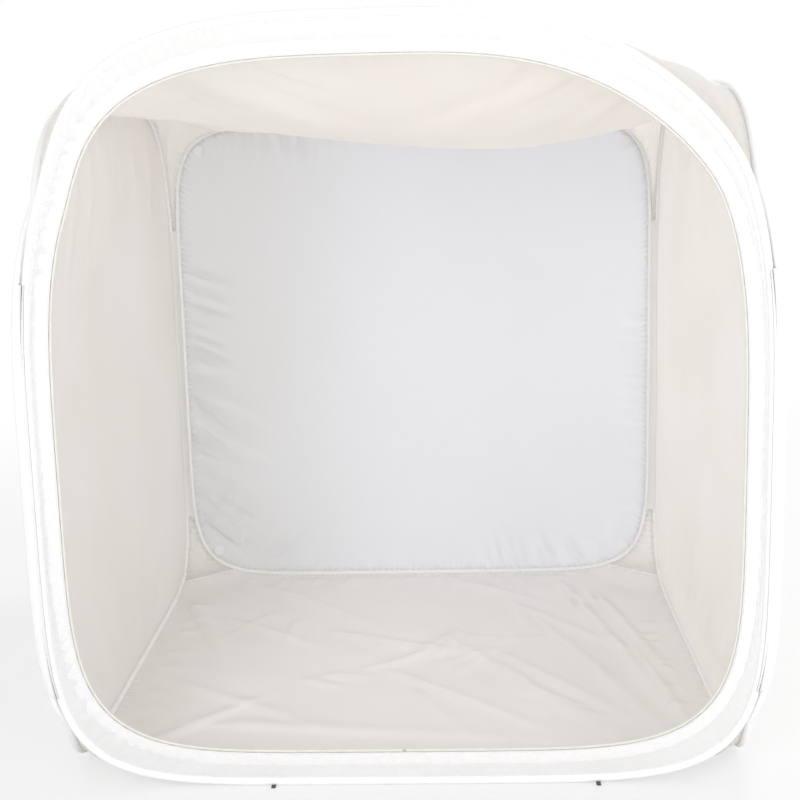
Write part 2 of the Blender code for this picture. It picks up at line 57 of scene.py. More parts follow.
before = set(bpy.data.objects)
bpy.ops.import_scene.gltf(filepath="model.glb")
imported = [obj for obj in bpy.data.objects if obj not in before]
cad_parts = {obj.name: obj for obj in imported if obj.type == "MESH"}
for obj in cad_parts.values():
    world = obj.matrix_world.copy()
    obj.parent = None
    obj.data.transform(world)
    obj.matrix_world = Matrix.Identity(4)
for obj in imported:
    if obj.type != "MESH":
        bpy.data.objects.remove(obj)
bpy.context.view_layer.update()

# The hoops, as the solids have them
WAIST = 0.470  # height where the upright runs reach out most
SEAM_SPACING = 0.0126  # between the wires of two hoops along a corner seam
WIRE_RADIUS = 0.0018
WIRE_END_GAP = 0.0010
CASING_RADIUS = 0.0055
EDGE_REACH = 0.0050  # a sheet's edge is sewn this far inside a casing's centre
STEPS = 40  # of the solid outline, counted anticlockwise from the right waist
SHOULDER_SHARE = 0.606  # above this share of its height the front hoop leans
PEAK_SHIFT = -0.035
GUSSET_STEPS = 5
GUSSET_SAG_SHARE = 0.06  # of a gusset's width
GUSSET_FOLD_SHARE = 0.035
GUSSET_TIPS = (0.150, 0.670)  # heights where the corner seams open into the bottom and top gussets
TAPE_ENDS = (0.130, 0.690)

# The border of the opening, with its parts one on another
HEM_INSET = (0.0345, 0.0525, 0.0455)  # side, top and bottom width, from the front wire to the hem
HEM_SQUARENESS = (3.2, 5.5)
PIPING_RADIUS = 0.0020
LOOP_TAPE_WIDTH = 0.020
BORDER_THICKNESS = 0.0012
LOOP_TAPE_THICKNESS = 0.0010
BORDER_SWELL = 0.0022
BORDER_RIPPLES = 210
RIPPLE_DEPTH = 0.00012
LOOP_TAPE_EDGE = 0.0012  # how much lower its rounded edges lie
LOOP_TAPE_LIFT = 0.0003  # off the border
LOOP_TAPE_CREASES = 90
CREASE_WIDTH = 0.0028
CREASE_DEPTH = 0.0007
TRIM_GAP = 0.0002  # between the piping and the loop tape
HEM_LAP = 0.0004  # how far the border laps the piping
PUCKER_LENGTH = 0.021
# corners of the opening (across, up), how far their folds spread, and the folds' weight
PUCKERED_CORNERS = (
    (-0.42, 0.87, 0.16, 1.0),
    (-0.42, 0.08, 0.15, 1.0),
    (0.40, 0.88, 0.09, 0.35),
    (0.41, 0.08, 0.10, 0.35),
)

# The sheets
CEILING_LOW = 0.857
CEILING_SLACK = 0.014  # how far the ceiling's middle hangs below its solid
CEILING_LEAN = 0.085  # how much lower it hangs for each metre to the right
WALL_BELLY = 0.008
FLOOR_LEVEL = 0.0006
FLOOR_LIFT = 0.0012  # keeps every crease of the floor above the ground
FLOOR_EDGE_SHARE = 0.9  # the floor lies flat up to here, then rises to the casings

# Seams
TAPE_THICKNESS = 0.0009
TAPE_LIFT = 0.0008  # from a casing's face to the middle of its tape
TAPE_HALF_WRAP = 55  # degrees of the casing that a tape covers on each side
WEB_THICKNESS = 0.0008
WEB_LIFT = 0.0007
WEB_VALLEY = 0.0016
WEB_RIPPLE = 0.009
CORD_RADIUS = 0.0016
HEM_STITCHES = ((0.0058, 0.0030), (0.0222, 0.0030), (0.0262, 0.0026))  # from the hem, and their lift
FRONT_STITCHES = (0.0032, 0.0016)  # from the front casing, and their lift
WALL_STITCHES = 0.0030
WALL_STITCH_LIFTS = (-0.0012, 0.0010)  # on both faces of a wall
COINS = [f"{side}_{height}_backdrop_coin" for side in ("left", "right") for height in ("top", "bottom")]

# The camera, fitted to the photograph
PICTURE_SIDE = 800
CAMERA_FOCAL = 1416.1  # in pixels of the picture
CAMERA_PLACE = (0.0755, -2.2341, 0.8821)
CAMERA_TURN = (-2.29, -11.12, -1.50)  # yaw, pitch and roll in degrees

# The stage
WHITE = (1, 1, 1, 1)
GROUND_REACH = 6.0
GROUND_POINTS = 24
LAMP_AIM = Vector((0, 0, 0.5))
LAMPS = (
    # name, place and size, with the power set in the panel
    ("key", (-1.2, -3.0, 1.6), 1.5),
    ("fill", (2.0, -2.8, 1.1), 2.0),
    ("right", (2.4, 1.2, 1.1), 1.3),
    ("left", (-1.5, 1.5, 1.9), 0.8),
    ("top", (0.9, 1.0, 2.2), 0.8),
)

# Fineness of the meshes
DENSE = 7200
RING_POINTS = 640
GRID_HALF = 84
BACK_GRID_HALF = 108


class Outline(NamedTuple):
    """The rounded shape that a hoop or a hem follows in its upright plane."""

    half_width: float
    top: float
    bottom: float
    top_squareness: float
    bottom_squareness: float
    peak_shift: float = 0.0


class Side(NamedTuple):
    """One side of the tent. Its heading is its turn about +Z from the front, seen from above."""

    name: str
    heading: float
    plane: float
    outline: Outline
    first_top_step: int
    first_bottom_step: int
    bows: bool


def hoop_outline(name, axis, top_squareness, bottom_squareness, peak_shift=0.0):
    """The outline of a packed hoop, read from the box of its wire."""
    low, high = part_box(name + "_hoop_wire")
    return Outline(
        high[axis] - WIRE_RADIUS,
        high.z - WIRE_RADIUS,
        low.z + WIRE_RADIUS,
        top_squareness,
        bottom_squareness,
        peak_shift,
    )


FRONT_OUTLINE = hoop_outline("front", 0, 3.15, 6.0, PEAK_SHIFT)
SIDE_OUTLINE = hoop_outline("left", 1, 4.0, 8.0)
BACK_OUTLINE = hoop_outline("back", 0, 8.0, 8.0)
HEM_OUTLINE = Outline(
    FRONT_OUTLINE.half_width - HEM_INSET[0],
    FRONT_OUTLINE.top - HEM_INSET[1],
    FRONT_OUTLINE.bottom + HEM_INSET[2],
    *HEM_SQUARENESS,
    PEAK_SHIFT,
)
HALF_DEPTH = SIDE_OUTLINE.half_width
SEAM_HALF_WIDTH = BACK_OUTLINE.half_width
FRONT = Side("front", 0.0, HALF_DEPTH, FRONT_OUTLINE, 3, 3, False)
RIGHT = Side("right", math.pi / 2, SEAM_HALF_WIDTH + SEAM_SPACING, SIDE_OUTLINE, 3, 2, True)
BACK = Side("back", math.pi, HALF_DEPTH, BACK_OUTLINE, 2, 2, False)
LEFT = RIGHT._replace(name="left", heading=3 * math.pi / 2)
SIDES = (FRONT, RIGHT, BACK, LEFT)
CORNERS = (
    # the two sides of a corner seam, its name, and the body that its gussets ride on
    (FRONT, RIGHT, "front_right", "right"),
    (RIGHT, BACK, "back_right", "back"),
    (BACK, LEFT, "back_left", "back"),
    (LEFT, FRONT, "front_left", "left"),
)


def smooth_step(share):
    share = np.clip(share, 0, 1)
    return share * share * (3 - 2 * share)


def paired(first, second):
    """Two values for each point of a grid, such as its place on a map."""
    return np.stack(np.broadcast_arrays(first, second), -1)


# Outlines


def half_of(outline, above):
    """The squareness and the reach of an outline's half above or below its waist."""
    squareness = np.where(above, outline.top_squareness, outline.bottom_squareness)
    return squareness, np.where(above, outline.top - WAIST, WAIST - outline.bottom)


def outline_at(outline, turns):
    """Points (across, up) of an outline in the directions turns, seen from the middle of its waist."""
    sine = np.sin(turns)
    squareness, reach = half_of(outline, sine > 0)
    spread = np.abs(np.cos(turns) / outline.half_width) ** squareness
    radius = (spread + np.abs(sine / reach) ** squareness) ** (-1 / squareness)
    rise = radius * sine
    lean = smooth_step((rise / reach - SHOULDER_SHARE) / (1 - SHOULDER_SHARE))
    return np.stack([radius * np.cos(turns) + outline.peak_shift * lean, WAIST + rise], -1)


def lengths_along(points):
    """How far along a path each of its points is."""
    return np.concatenate([[0], np.cumsum(np.linalg.norm(np.diff(points, axis=0), axis=1))])


def even_turns(outline, count):
    """Directions that space points evenly round an outline, anticlockwise from the bottom middle."""
    turns = np.linspace(-math.pi / 2, 1.5 * math.pi, DENSE + 1)
    length = lengths_along(outline_at(outline, turns))
    return np.interp(np.arange(count) / count * length[-1], length, turns)


def turn_of_step(outline, step):
    """The direction of a step of the solid outline, for steps from -10 to 50."""
    angle = 2 * math.pi * step / STEPS
    squareness, reach = half_of(outline, math.sin(angle) > 0)
    power = 2 / squareness
    across = outline.half_width * math.copysign(abs(math.cos(angle)) ** power, math.cos(angle))
    turn = math.atan2(reach * math.copysign(abs(math.sin(angle)) ** power, math.sin(angle)), across)
    return turn + 2 * math.pi * round((angle - turn) / (2 * math.pi))


def step_at(outline, height):
    """The step of an outline's right side at a height."""
    squareness, reach = half_of(outline, height > WAIST)
    angle = math.asin((abs(height - WAIST) / reach) ** (squareness / 2))
    return math.copysign(angle * STEPS / (2 * math.pi), height - WAIST)


def outline_run(outline, first, last, count):
    """Evenly spaced points of an outline from one step to another, in either direction."""
    turns = np.linspace(turn_of_step(outline, first), turn_of_step(outline, last), DENSE // 2)
    points = outline_at(outline, turns)
    length = lengths_along(points)
    even = np.interp(np.linspace(0, length[-1], count), length, turns)
    return outline_at(outline, even)


def inset(points, distance, closed=True):
    """A loop, or an open run, moved towards the outline's middle."""
    along = np.roll(points, -1, 0) - np.roll(points, 1, 0) if closed else np.gradient(points, axis=0)
    along /= np.linalg.norm(along, axis=1)[:, None]
    return points + distance * np.stack([-along[:, 1], along[:, 0]], -1)


def hoop_loop(side, count=RING_POINTS, inward=0.0):
    """Evenly spaced points (across, up) round a side's hoop."""
    return inset(outline_at(side.outline, even_turns(side.outline, count)), inward)


def half_width_at(outline, up):
    """Half of an outline's width at a height."""
    squareness, reach = half_of(outline, up > WAIST)
    share = np.clip(np.abs(up - WAIST) / reach, 0, 1)
    return outline.half_width * (1 - share**squareness) ** (1 / squareness)


def front_overhang(up):
    """How far the front hoop reaches out past the folding axes, at a height."""
    return np.maximum(0, half_width_at(FRONT_OUTLINE, up) - SEAM_HALF_WIDTH)


def place(side, across, up, outward=0.0):
    """World places of points in a side's plane, moved outward from the tent. The side walls bow to meet
    the front hoop."""
    sine, cosine = math.sin(side.heading), math.cos(side.heading)
    reach = side.plane + outward + np.zeros_like(across)
    if side.bows:
        reach = reach + front_overhang(up) * smooth_step((HALF_DEPTH - across * sine) / (2 * HALF_DEPTH))
    return np.stack([across * cosine + reach * sine, across * sine - reach * cosine, up + 0 * across], -1)


# Grids and folds


def square_grid(runs, half):
    """Spreads a closed loop over a square grid of points.

    runs are its four sides in order, each an array of points from corner to corner. Returns the share of
    each grid point and the loop's point outward of it."""
    index = np.arange(-half, half + 1) / half
    across, up = np.meshgrid(index, index)
    share = np.maximum(np.abs(across), np.abs(up))
    safe = np.where(share > 0, share, 1)
    sides = (
        (up == -share, across / safe),
        (across == share, up / safe),
        (up == share, -across / safe),
        (across == -share, -up / safe),
    )
    edge = np.zeros((*share.shape, runs[0].shape[1]))
    for (held, along), run in list(zip(sides, runs))[::-1]:
        place_in_run = (along[held] + 1) / 2 * (len(run) - 1)
        spots = [np.interp(place_in_run, np.arange(len(run)), column) for column in run.T]
        edge[held] = np.stack(spots, -1)
    return share, edge


def with_length(points, start=0.0):
    """Points with one more column: the length along them from the first."""
    return np.concatenate([points, start + lengths_along(points)[:, None]], 1)


def evenly(points, count):
    """Evenly spaced points along a path."""
    length = lengths_along(points)
    even = np.linspace(0, length[-1], count)
    return np.stack([np.interp(even, length, column) for column in points.T], -1)


def ridges(across, up, lines):
    """Soft ridges along short lines (across, up, across, up, width, height), steeper on one side."""
    lift = np.zeros_like(across)
    for x0, z0, x1, z1, width, height in lines:
        run = math.hypot(x1 - x0, z1 - z0)
        ahead = ((across - x0) * (x1 - x0) + (up - z0) * (z1 - z0)) / run**2
        aside = ((across - x0) * (z1 - z0) - (up - z0) * (x1 - x0)) / run
        fade = smooth_step(ahead * 4 + 0.5) * smooth_step((1 - ahead) * 1.6)
        lift += height * fade * np.exp(-((aside / np.where(aside > 0, width, 2.2 * width)) ** 2))
    return lift


def swells(across, up, seed, count, shortest, longest, depth):
    """Broad soft waves of cloth in several directions, the longer the deeper."""
    draw = np.random.default_rng(seed)
    lift = np.zeros_like(across)
    for _ in range(count):
        length = draw.uniform(shortest, longest)
        turn, phase = draw.uniform(0, math.pi), draw.uniform(0, 2 * math.pi)
        lift += length / longest * np.sin(
            2 * math.pi / length * (across * math.cos(turn) + up * math.sin(turn)) + phase
        )
    return depth * lift / math.sqrt(count)


def fan(seed, start, end, reach, heading, spread, width, depth, count):
    """Lines for ridges that start evenly between two points and run off at about a heading in degrees."""
    draw = np.random.default_rng(seed)
    lines = []
    for index in range(count):
        share = (index + draw.uniform(0.2, 0.8)) / count
        x0 = start[0] + (end[0] - start[0]) * share
        z0 = start[1] + (end[1] - start[1]) * share
        turn = math.radians(heading + spread * (share - 0.5) + draw.uniform(-6, 6))
        length = reach * draw.uniform(0.5, 1.0)
        side = 1 if draw.random() < 0.6 else -0.8
        x1, z1 = x0 + length * math.cos(turn), z0 + length * math.sin(turn)
        breadth = width * draw.uniform(0.7, 1.2)
        lines.append((x0, z0, x1, z1, breadth, side * depth * draw.uniform(0.5, 1.0)))
    return lines


# Meshes


def grid_normals(points, wrap=False):
    """The unit normals of a grid of points. A grid that wraps is closed along its rows."""
    if wrap:
        around = np.roll(points, -1, 1) - np.roll(points, 1, 1)
    else:
        around = np.gradient(points, axis=1)
    normals = np.cross(around, np.gradient(points, axis=0))
    if not wrap:
        # the corner of a grid can lie on a straight edge, where it has no normal of its own
        normals[[0, 0, -1, -1], [0, -1, 0, -1]] = normals[[1, 1, -2, -2], [1, -2, 1, -2]]
    return normals / np.maximum(np.linalg.norm(normals, axis=-1, keepdims=True), 1e-12)


def make_mesh(name, points, quads, maps, normals):
    """A smooth mesh of quads that face outward, with UV maps given as values for each point."""
    first, second, third, fourth = points[quads].swapaxes(0, 1)
    if np.sum(first * (np.cross(second, third) + np.cross(third, fourth))) < 0:
        quads = quads[:, ::-1]
    mesh = bpy.data.meshes.new(name)
    mesh.from_pydata(points.tolist(), [], quads.tolist())
    mesh.shade_smooth()
    for map_name, values in maps:
        spots = values[quads].astype(np.float32)
        turn = np.ptp(values[:, 0])
        round_again = np.ptp(spots[..., 0], axis=1) > turn / 2
        spots[..., 0] += np.where(round_again[:, None] & (spots[..., 0] < turn / 2), turn, 0)
        layer = mesh.uv_layers.new(name=map_name)
        layer.data.foreach_set("uv", spots.ravel())
    mesh.normals_split_custom_set_from_vertices(normals.tolist())
    return mesh


def cloth_mesh(name, grid, thickness, flat, edge=None, wrap=False, keep=None):
    """A closed thin shell round a grid of points. keep says which cells it has.

    flat gives each point's place on the cloth as it was cut, and edge its length along and distance from
    the edge, for the weave and the seam puckers. Normals come from the whole grid, so a cut leaves no
    seam."""
    rows, columns = grid.shape[:2]
    normals = grid_normals(grid, wrap)
    index = np.arange(rows * columns).reshape(rows, columns)
    if wrap:
        index = np.concatenate([index, index[:, :1]], 1)
    cells = np.ones((index.shape[0] - 1, index.shape[1] - 1), bool) if keep is None else keep
    quads = np.stack([index[:-1, :-1], index[:-1, 1:], index[1:, 1:], index[1:, :-1]], -1)[cells]
    used, quads = np.unique(quads, return_inverse=True)
    quads = quads.reshape(-1, 4)
    count = len(used)
    sides = np.concatenate([quads[:, [k, (k + 1) % 4]] for k in range(4)])
    codes = np.sort(sides, 1) @ [count, 1]
    _, first, times = np.unique(codes, return_index=True, return_counts=True)
    rim = sides[first[times == 1]]
    points, bends = grid.reshape(-1, 3)[used], normals.reshape(-1, 3)[used]
    shell = np.concatenate([points + bends * thickness / 2, points - bends * thickness / 2])
    walls = np.stack([rim[:, 1], rim[:, 0], rim[:, 0] + count, rim[:, 1] + count], -1)
    faces = np.concatenate([quads, quads[:, ::-1] + count, walls])
    maps = [("UVMap", flat)] + ([("Edge", edge)] if edge is not None else [])
    maps = [(map_name, np.tile(values.reshape(-1, 2)[used], (2, 1))) for map_name, values in maps]
    return make_mesh(name, shell, faces, maps, np.concatenate([bends, -bends]))


def linked(name, data):
    """A new object in the scene."""
    thing = bpy.data.objects.new(name, data)
    bpy.context.scene.collection.objects.link(thing)
    return thing


def add_piece(name, mesh, body, look, replaced=None):
    """A finished piece that rides on a body and stands for a packed node. Its slot is its look's name, or
    the slot given."""
    piece = linked(name, mesh)
    mesh.materials.clear()
    mesh.materials.append(finish(look))
    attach(piece, body)
    if replaced:
        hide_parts(replaced)
    return piece


def casings_of(*sides):
    return [side.name + "_gathered_casing" for side in sides]


def store_along(mesh, lengths):
    """Stores how far along a band each point of its two faces is, for the ribs of its finish."""
    layer = mesh.attributes.new("along", "FLOAT", "POINT")
    layer.data.foreach_set("value", np.tile(lengths.ravel(), 2))


def path_mesh(loops):
    """Edges along world paths (points, closed), for the trees that follow a path."""
    points, edges = [], []
    for loop, closed in loops:
        first = len(points)
        points += loop.tolist()
        edges += [(first + k, first + k + 1) for k in range(len(loop) - 1)]
        if closed:
            edges.append((first + len(loop) - 1, first))
    mesh = bpy.data.meshes.new("path")
    mesh.from_pydata(points, edges, [])
    return mesh


# Node trees


def node(tree, kind, inputs=None, **settings):
    """Adds a node. inputs gives each socket a value, or the socket that it is linked to."""
    made = tree.nodes.new(kind)
    for name, value in settings.items():
        setattr(made, name, value)
    for key, value in (inputs or {}).items():
        if isinstance(value, bpy.types.NodeSocket):
            tree.links.new(value, made.inputs[key])
        else:
            made.inputs[key].default_value = value
    return made


def maths(tree, operation, *values):
    return node(tree, "ShaderNodeMath", dict(enumerate(values)), operation=operation).outputs[0]


def new_tree(name, *sockets):
    """An empty geometry tree with Geometry in and out, and the named inputs (name, kind, default)."""
    tree = bpy.data.node_groups.new(name, "GeometryNodeTree")
    tree.interface.new_socket("Geometry", in_out="OUTPUT", socket_type="NodeSocketGeometry")
    tree.interface.new_socket("Geometry", in_out="INPUT", socket_type="NodeSocketGeometry")
    for label, kind, default in (*sockets, ("Material", "Material", None)):
        socket = tree.interface.new_socket(label, in_out="INPUT", socket_type="NodeSocket" + kind)
        if default is not None:
            socket.default_value = default
    return tree, node(tree, "NodeGroupInput").outputs


def end_tree(tree, geometry, inputs):
    """Ends a tree: smooth, with its instances made real and its material set."""
    smooth = node(tree, "GeometryNodeSetShadeSmooth", {"Geometry": geometry})
    real = node(tree, "GeometryNodeRealizeInstances", {"Geometry": smooth.outputs[0]})
    inks = {"Geometry": real.outputs[0], "Material": inputs["Material"]}
    painted = node(tree, "GeometryNodeSetMaterial", inks)
    node(tree, "NodeGroupOutput", {"Geometry": painted.outputs[0]})
    return tree


def run_tree(tree, mesh, **values):
    """The plain mesh that a tree makes from a mesh. values are its inputs by name, _ for a space."""
    carrier = linked(mesh.name, mesh)
    modifier = carrier.modifiers.new(tree.name, "NODES")
    modifier.node_group = tree
    sockets = {item.name: item.identifier for item in tree.interface.items_tree if item.in_out == "INPUT"}
    for name, value in values.items():
        modifier[sockets[name.replace("_", " ")]] = value
    graph = bpy.context.evaluated_depsgraph_get()
    made = bpy.data.meshes.new_from_object(carrier.evaluated_get(graph))
    bpy.data.objects.remove(carrier)
    return made


@cache
def tube_tree():
    """A tube along a path, its cloth gathered in small ruffles. It stores how far along a point is."""
    tree, inputs = new_tree(
        "Gathered tube",
        ("Radius", "Float", CASING_RADIUS),
        ("Sides", "Int", 14),
        ("Gather Depth", "Float", 0.0004),
        ("Gather Length", "Float", 0.012),
        ("Seed", "Int", 1),
    )
    path = node(tree, "GeometryNodeMeshToCurve", {"Mesh": inputs["Geometry"]})
    length = node(tree, "GeometryNodeSplineParameter").outputs["Length"]
    stored = {"Geometry": path.outputs[0], "Name": "along", "Value": length}
    marked = node(tree, "GeometryNodeStoreNamedAttribute", stored, data_type="FLOAT", domain="POINT")
    size = {"Resolution": inputs["Sides"], "Radius": inputs["Radius"]}
    section = node(tree, "GeometryNodeCurvePrimitiveCircle", size)
    swept = {"Curve": marked.outputs[0], "Profile Curve": section.outputs[0], "Fill Caps": True}
    tube = node(tree, "GeometryNodeCurveToMesh", swept)
    along = node(tree, "GeometryNodeInputNamedAttribute", {"Name": "along"}, data_type="FLOAT")
    spot = node(tree, "GeometryNodeInputPosition").outputs[0]
    drawn = {"Vector": spot, "W": inputs["Seed"], "Scale": 45.0, "Detail": 2.0}
    noise = node(tree, "ShaderNodeTexNoise", drawn, noise_dimensions="4D").outputs[0]
    turns = maths(tree, "DIVIDE", along.outputs[0], inputs["Gather Length"])
    phase = maths(tree, "MULTIPLY_ADD", turns, 2 * math.pi, maths(tree, "MULTIPLY", noise, 9.0))
    ruffle = maths(tree, "MULTIPLY", maths(tree, "SINE", phase), noise)
    depth = maths(tree, "MULTIPLY", ruffle, inputs["Gather Depth"])
    normal = node(tree, "GeometryNodeInputNormal").outputs[0]
    offset = node(tree, "ShaderNodeVectorMath", {0: normal, "Scale": depth}, operation="SCALE")
    shift = {"Geometry": tube.outputs[0], "Offset": offset.outputs[0]}
    moved = node(tree, "GeometryNodeSetPosition", shift)
    return end_tree(tree, moved.outputs[0], inputs)


def place_copies(tree, points, thing, rotation, size):
    """Copies of a bead on points, each scaled by size in X, Y and Z."""
    scale = node(tree, "ShaderNodeCombineXYZ", size).outputs[0]
    inputs = {"Points": points, "Instance": thing.outputs[0], "Rotation": rotation, "Scale": scale}
    return node(tree, "GeometryNodeInstanceOnPoints", inputs).outputs[0]


@cache
def stitch_tree():
    """Short threads laid end to end along a path."""
    tree, inputs = new_tree(
        "Stitch row",
        ("Stitch Length", "Float", 0.0032),
        ("Gap", "Float", 0.0012),
        ("Thread Radius", "Float", 0.0004),
        ("Seed", "Int", 1),
    )
    path = node(tree, "GeometryNodeMeshToCurve", {"Mesh": inputs["Geometry"]})
    pitch = maths(tree, "ADD", inputs["Stitch Length"], inputs["Gap"])
    steps = {"Curve": path.outputs[0], "Length": pitch}
    spaced = node(tree, "GeometryNodeResampleCurve", steps, mode="LENGTH")
    tangent = node(tree, "GeometryNodeInputTangent").outputs[0]
    turn = node(tree, "FunctionNodeAlignRotationToVector", {"Vector": tangent}, axis="Z").outputs[0]
    jitter = {"Min": (-0.06,) * 3, "Max": (0.06,) * 3, "Seed": inputs["Seed"]}
    drawn = node(tree, "FunctionNodeRandomValue", jitter, data_type="FLOAT_VECTOR").outputs[0]
    jogged = node(tree, "FunctionNodeRotateRotation", {0: turn, 1: drawn}, rotation_space="LOCAL")
    bead = node(tree, "GeometryNodeMeshUVSphere", {"Segments": 5, "Rings": 4, "Radius": 1.0})
    half = maths(tree, "MULTIPLY", inputs["Stitch Length"], 0.5)
    size = {"X": inputs["Thread Radius"], "Y": inputs["Thread Radius"], "Z": half}
    laid = place_copies(tree, spaced.outputs[0], bead, jogged.outputs[0], size)
    return end_tree(tree, laid, inputs)


@cache
def hook_tree():
    """Tiny hooks scattered closely over a surface."""
    tree, inputs = new_tree(
        "Hook field",
        ("Spacing", "Float", 0.0011),
        ("Hook Radius", "Float", 0.00018),
        ("Seed", "Int", 1),
    )
    spread = {
        "Mesh": inputs["Geometry"],
        "Distance Min": inputs["Spacing"],
        "Density Max": 4.0e6,
        "Seed": inputs["Seed"],
    }
    kind = "GeometryNodeDistributePointsOnFaces"
    points = node(tree, kind, spread, distribute_method="POISSON").outputs
    bead = node(tree, "GeometryNodeMeshIcoSphere", {"Radius": 1.0, "Subdivisions": 1})
    height = maths(tree, "MULTIPLY", inputs["Hook Radius"], 1.8)
    size = {"X": inputs["Hook Radius"], "Y": inputs["Hook Radius"], "Z": height}
    placed = place_copies(tree, points["Points"], bead, points["Rotation"], size)
    joined = node(tree, "GeometryNodeJoinGeometry")
    tree.links.new(placed, joined.inputs[0])
    tree.links.new(inputs["Geometry"], joined.inputs[0])
    return end_tree(tree, joined.outputs[0], inputs)


def add_tube(name, body, look, path, closed, replaced=None, **values):
    """A tube of wire or cloth along world points. values are inputs of the tube tree."""
    mesh = path_mesh([(path, closed)])
    mesh = run_tree(tube_tree(), mesh, Material=finish(look), **values)
    return add_piece(name, mesh, body, look, replaced)


# Finishes


def new_material(name):
    material = bpy.data.materials.new(name)
    material.use_nodes = True
    tree = material.node_tree
    tree.nodes.clear()
    return material, tree


def end_material(tree, shader):
    node(tree, "ShaderNodeOutputMaterial", {"Surface": shader})


def object_noise(tree, scale, detail=3.0, stretch=(1, 1, 1)):
    spot = node(tree, "ShaderNodeTexCoord").outputs["Object"]
    spot = node(tree, "ShaderNodeMapping", {"Vector": spot, "Scale": stretch}).outputs[0]
    inputs = {"Vector": spot, "Scale": scale, "Detail": detail}
    return node(tree, "ShaderNodeTexNoise", inputs).outputs[0]


def varied(tree, colour, shade, amount):
    """A colour that drifts towards a shade of itself, with amount a socket from 0 to 1."""
    darker = (*(channel * share for channel, share in zip(colour, shade)), 1)
    ends = {0: amount, 6: (*colour, 1), 7: darker}
    return node(tree, "ShaderNodeMix", ends, data_type="RGBA").outputs[2]


def bump(tree, height, distance, under=None):
    inputs = {"Height": height, "Distance": distance}
    if under is not None:
        inputs["Normal"] = under
    return node(tree, "ShaderNodeBump", inputs).outputs[0]


def eased(tree, value, *ends):
    """A value eased from between the first two ends to between the last two, or to 0 and 1."""
    span = dict(enumerate((value, *ends)))
    return node(tree, "ShaderNodeMapRange", span, interpolation_type="SMOOTHSTEP").outputs[0]


def wave_of(tree, value, length):
    return maths(tree, "SINE", maths(tree, "MULTIPLY", value, 2 * math.pi / length))


def map_parts(tree, name):
    """The two parts of a place on one of the cloth's maps."""
    flat = node(tree, "ShaderNodeUVMap", uv_map=name).outputs[0]
    return node(tree, "ShaderNodeSeparateXYZ", {0: flat}).outputs[:2]


def weave_height(tree, pitch):
    """Crossed threads on the cloth's own map."""
    return maths(tree, "MULTIPLY", *(wave_of(tree, part, pitch) for part in map_parts(tree, "UVMap")))


def pucker_height(tree, length, reach):
    """Small gathers where the cloth is sewn, which fade away from its edge."""
    along, away = map_parts(tree, "Edge")
    jitter = maths(tree, "MULTIPLY", object_noise(tree, 30.0, 1.0), 7.0)
    phase = maths(tree, "MULTIPLY_ADD", along, 2 * math.pi / length, jitter)
    fade = maths(tree, "EXPONENT", maths(tree, "MULTIPLY", away, -1 / reach))
    return maths(tree, "MULTIPLY", maths(tree, "SINE", phase), fade)


def cloth_finish(
    name,
    colour,
    glow=None,
    roughness=0.5,
    coat=0.0,
    crumple=0.0004,
    shade=(0.975, 0.968, 0.955),
    painted_shade_span=None,
    pucker=0.0012,
):
    """Thin woven nylon: it lets some light through, has a satin sheen, and puckers where it is sewn."""
    material, tree = new_material(name)
    if glow is None:
        glow = bpy.context.scene.tent_cloth.glow
    cloud = object_noise(tree, 5.0, 2.0)
    amount = eased(tree, cloud, 0.2, 0.8)
    if painted_shade_span:
        # painted shade: it darkens from one side to the other, between two places on its map, standing in
        # for the shade that falls on one side of the wall
        side = maths(tree, "MULTIPLY", eased(tree, map_parts(tree, "UVMap")[0], *painted_shade_span), 0.82)
        amount = maths(tree, "MULTIPLY_ADD", amount, 0.18, side)
    tint = varied(tree, colour, shade, amount)
    normal = bump(tree, object_noise(tree, 38.0, 4.0, (1, 1, 0.7)), crumple)
    normal = bump(tree, pucker_height(tree, 0.011, 0.009), pucker, normal)
    normal = bump(tree, weave_height(tree, 0.0011), 0.00006, normal)
    gloss = maths(tree, "MULTIPLY_ADD", cloud, 0.16, roughness - 0.08)
    satin = {"Base Color": tint, "Roughness": gloss, "Normal": normal, "Specular IOR Level": 0.4}
    satin.update({"Sheen Weight": 0.15, "Sheen Roughness": 0.4})
    satin.update({"Coat Weight": coat, "Coat Roughness": 0.22})
    front = node(tree, "ShaderNodeBsdfPrincipled", satin)
    through = node(tree, "ShaderNodeBsdfTranslucent", {"Color": tint, "Normal": normal})
    mixed = node(tree, "ShaderNodeMixShader", {0: glow, 1: front.outputs[0], 2: through.outputs[0]})
    end_material(tree, mixed.outputs[0])
    return material


def trim_finish(
    name,
    colour,
    roughness,
    rib=0.0,
    rib_depth=0.0,
    grain=0.0003,
    grain_scale=90.0,
    metallic=0.0,
    shade=0.87,
):
    """A trim or fitting. rib is the pitch of its cross ribs, on the length stored along it."""
    material, tree = new_material(name)
    noise = object_noise(tree, grain_scale)
    tint = varied(tree, colour, (shade,) * 3, noise)
    normal = bump(tree, noise, grain)
    if rib:
        along = node(tree, "ShaderNodeAttribute", attribute_name="along").outputs["Fac"]
        normal = bump(tree, wave_of(tree, along, rib), rib_depth, normal)
    gloss = maths(tree, "MULTIPLY_ADD", noise, 0.2, roughness - 0.1)
    surface = {"Base Color": tint, "Roughness": gloss, "Normal": normal, "Metallic": metallic}
    surface["Sheen Weight"] = 0.0 if metallic else 0.2
    end_material(tree, node(tree, "ShaderNodeBsdfPrincipled", surface).outputs[0])
    return material


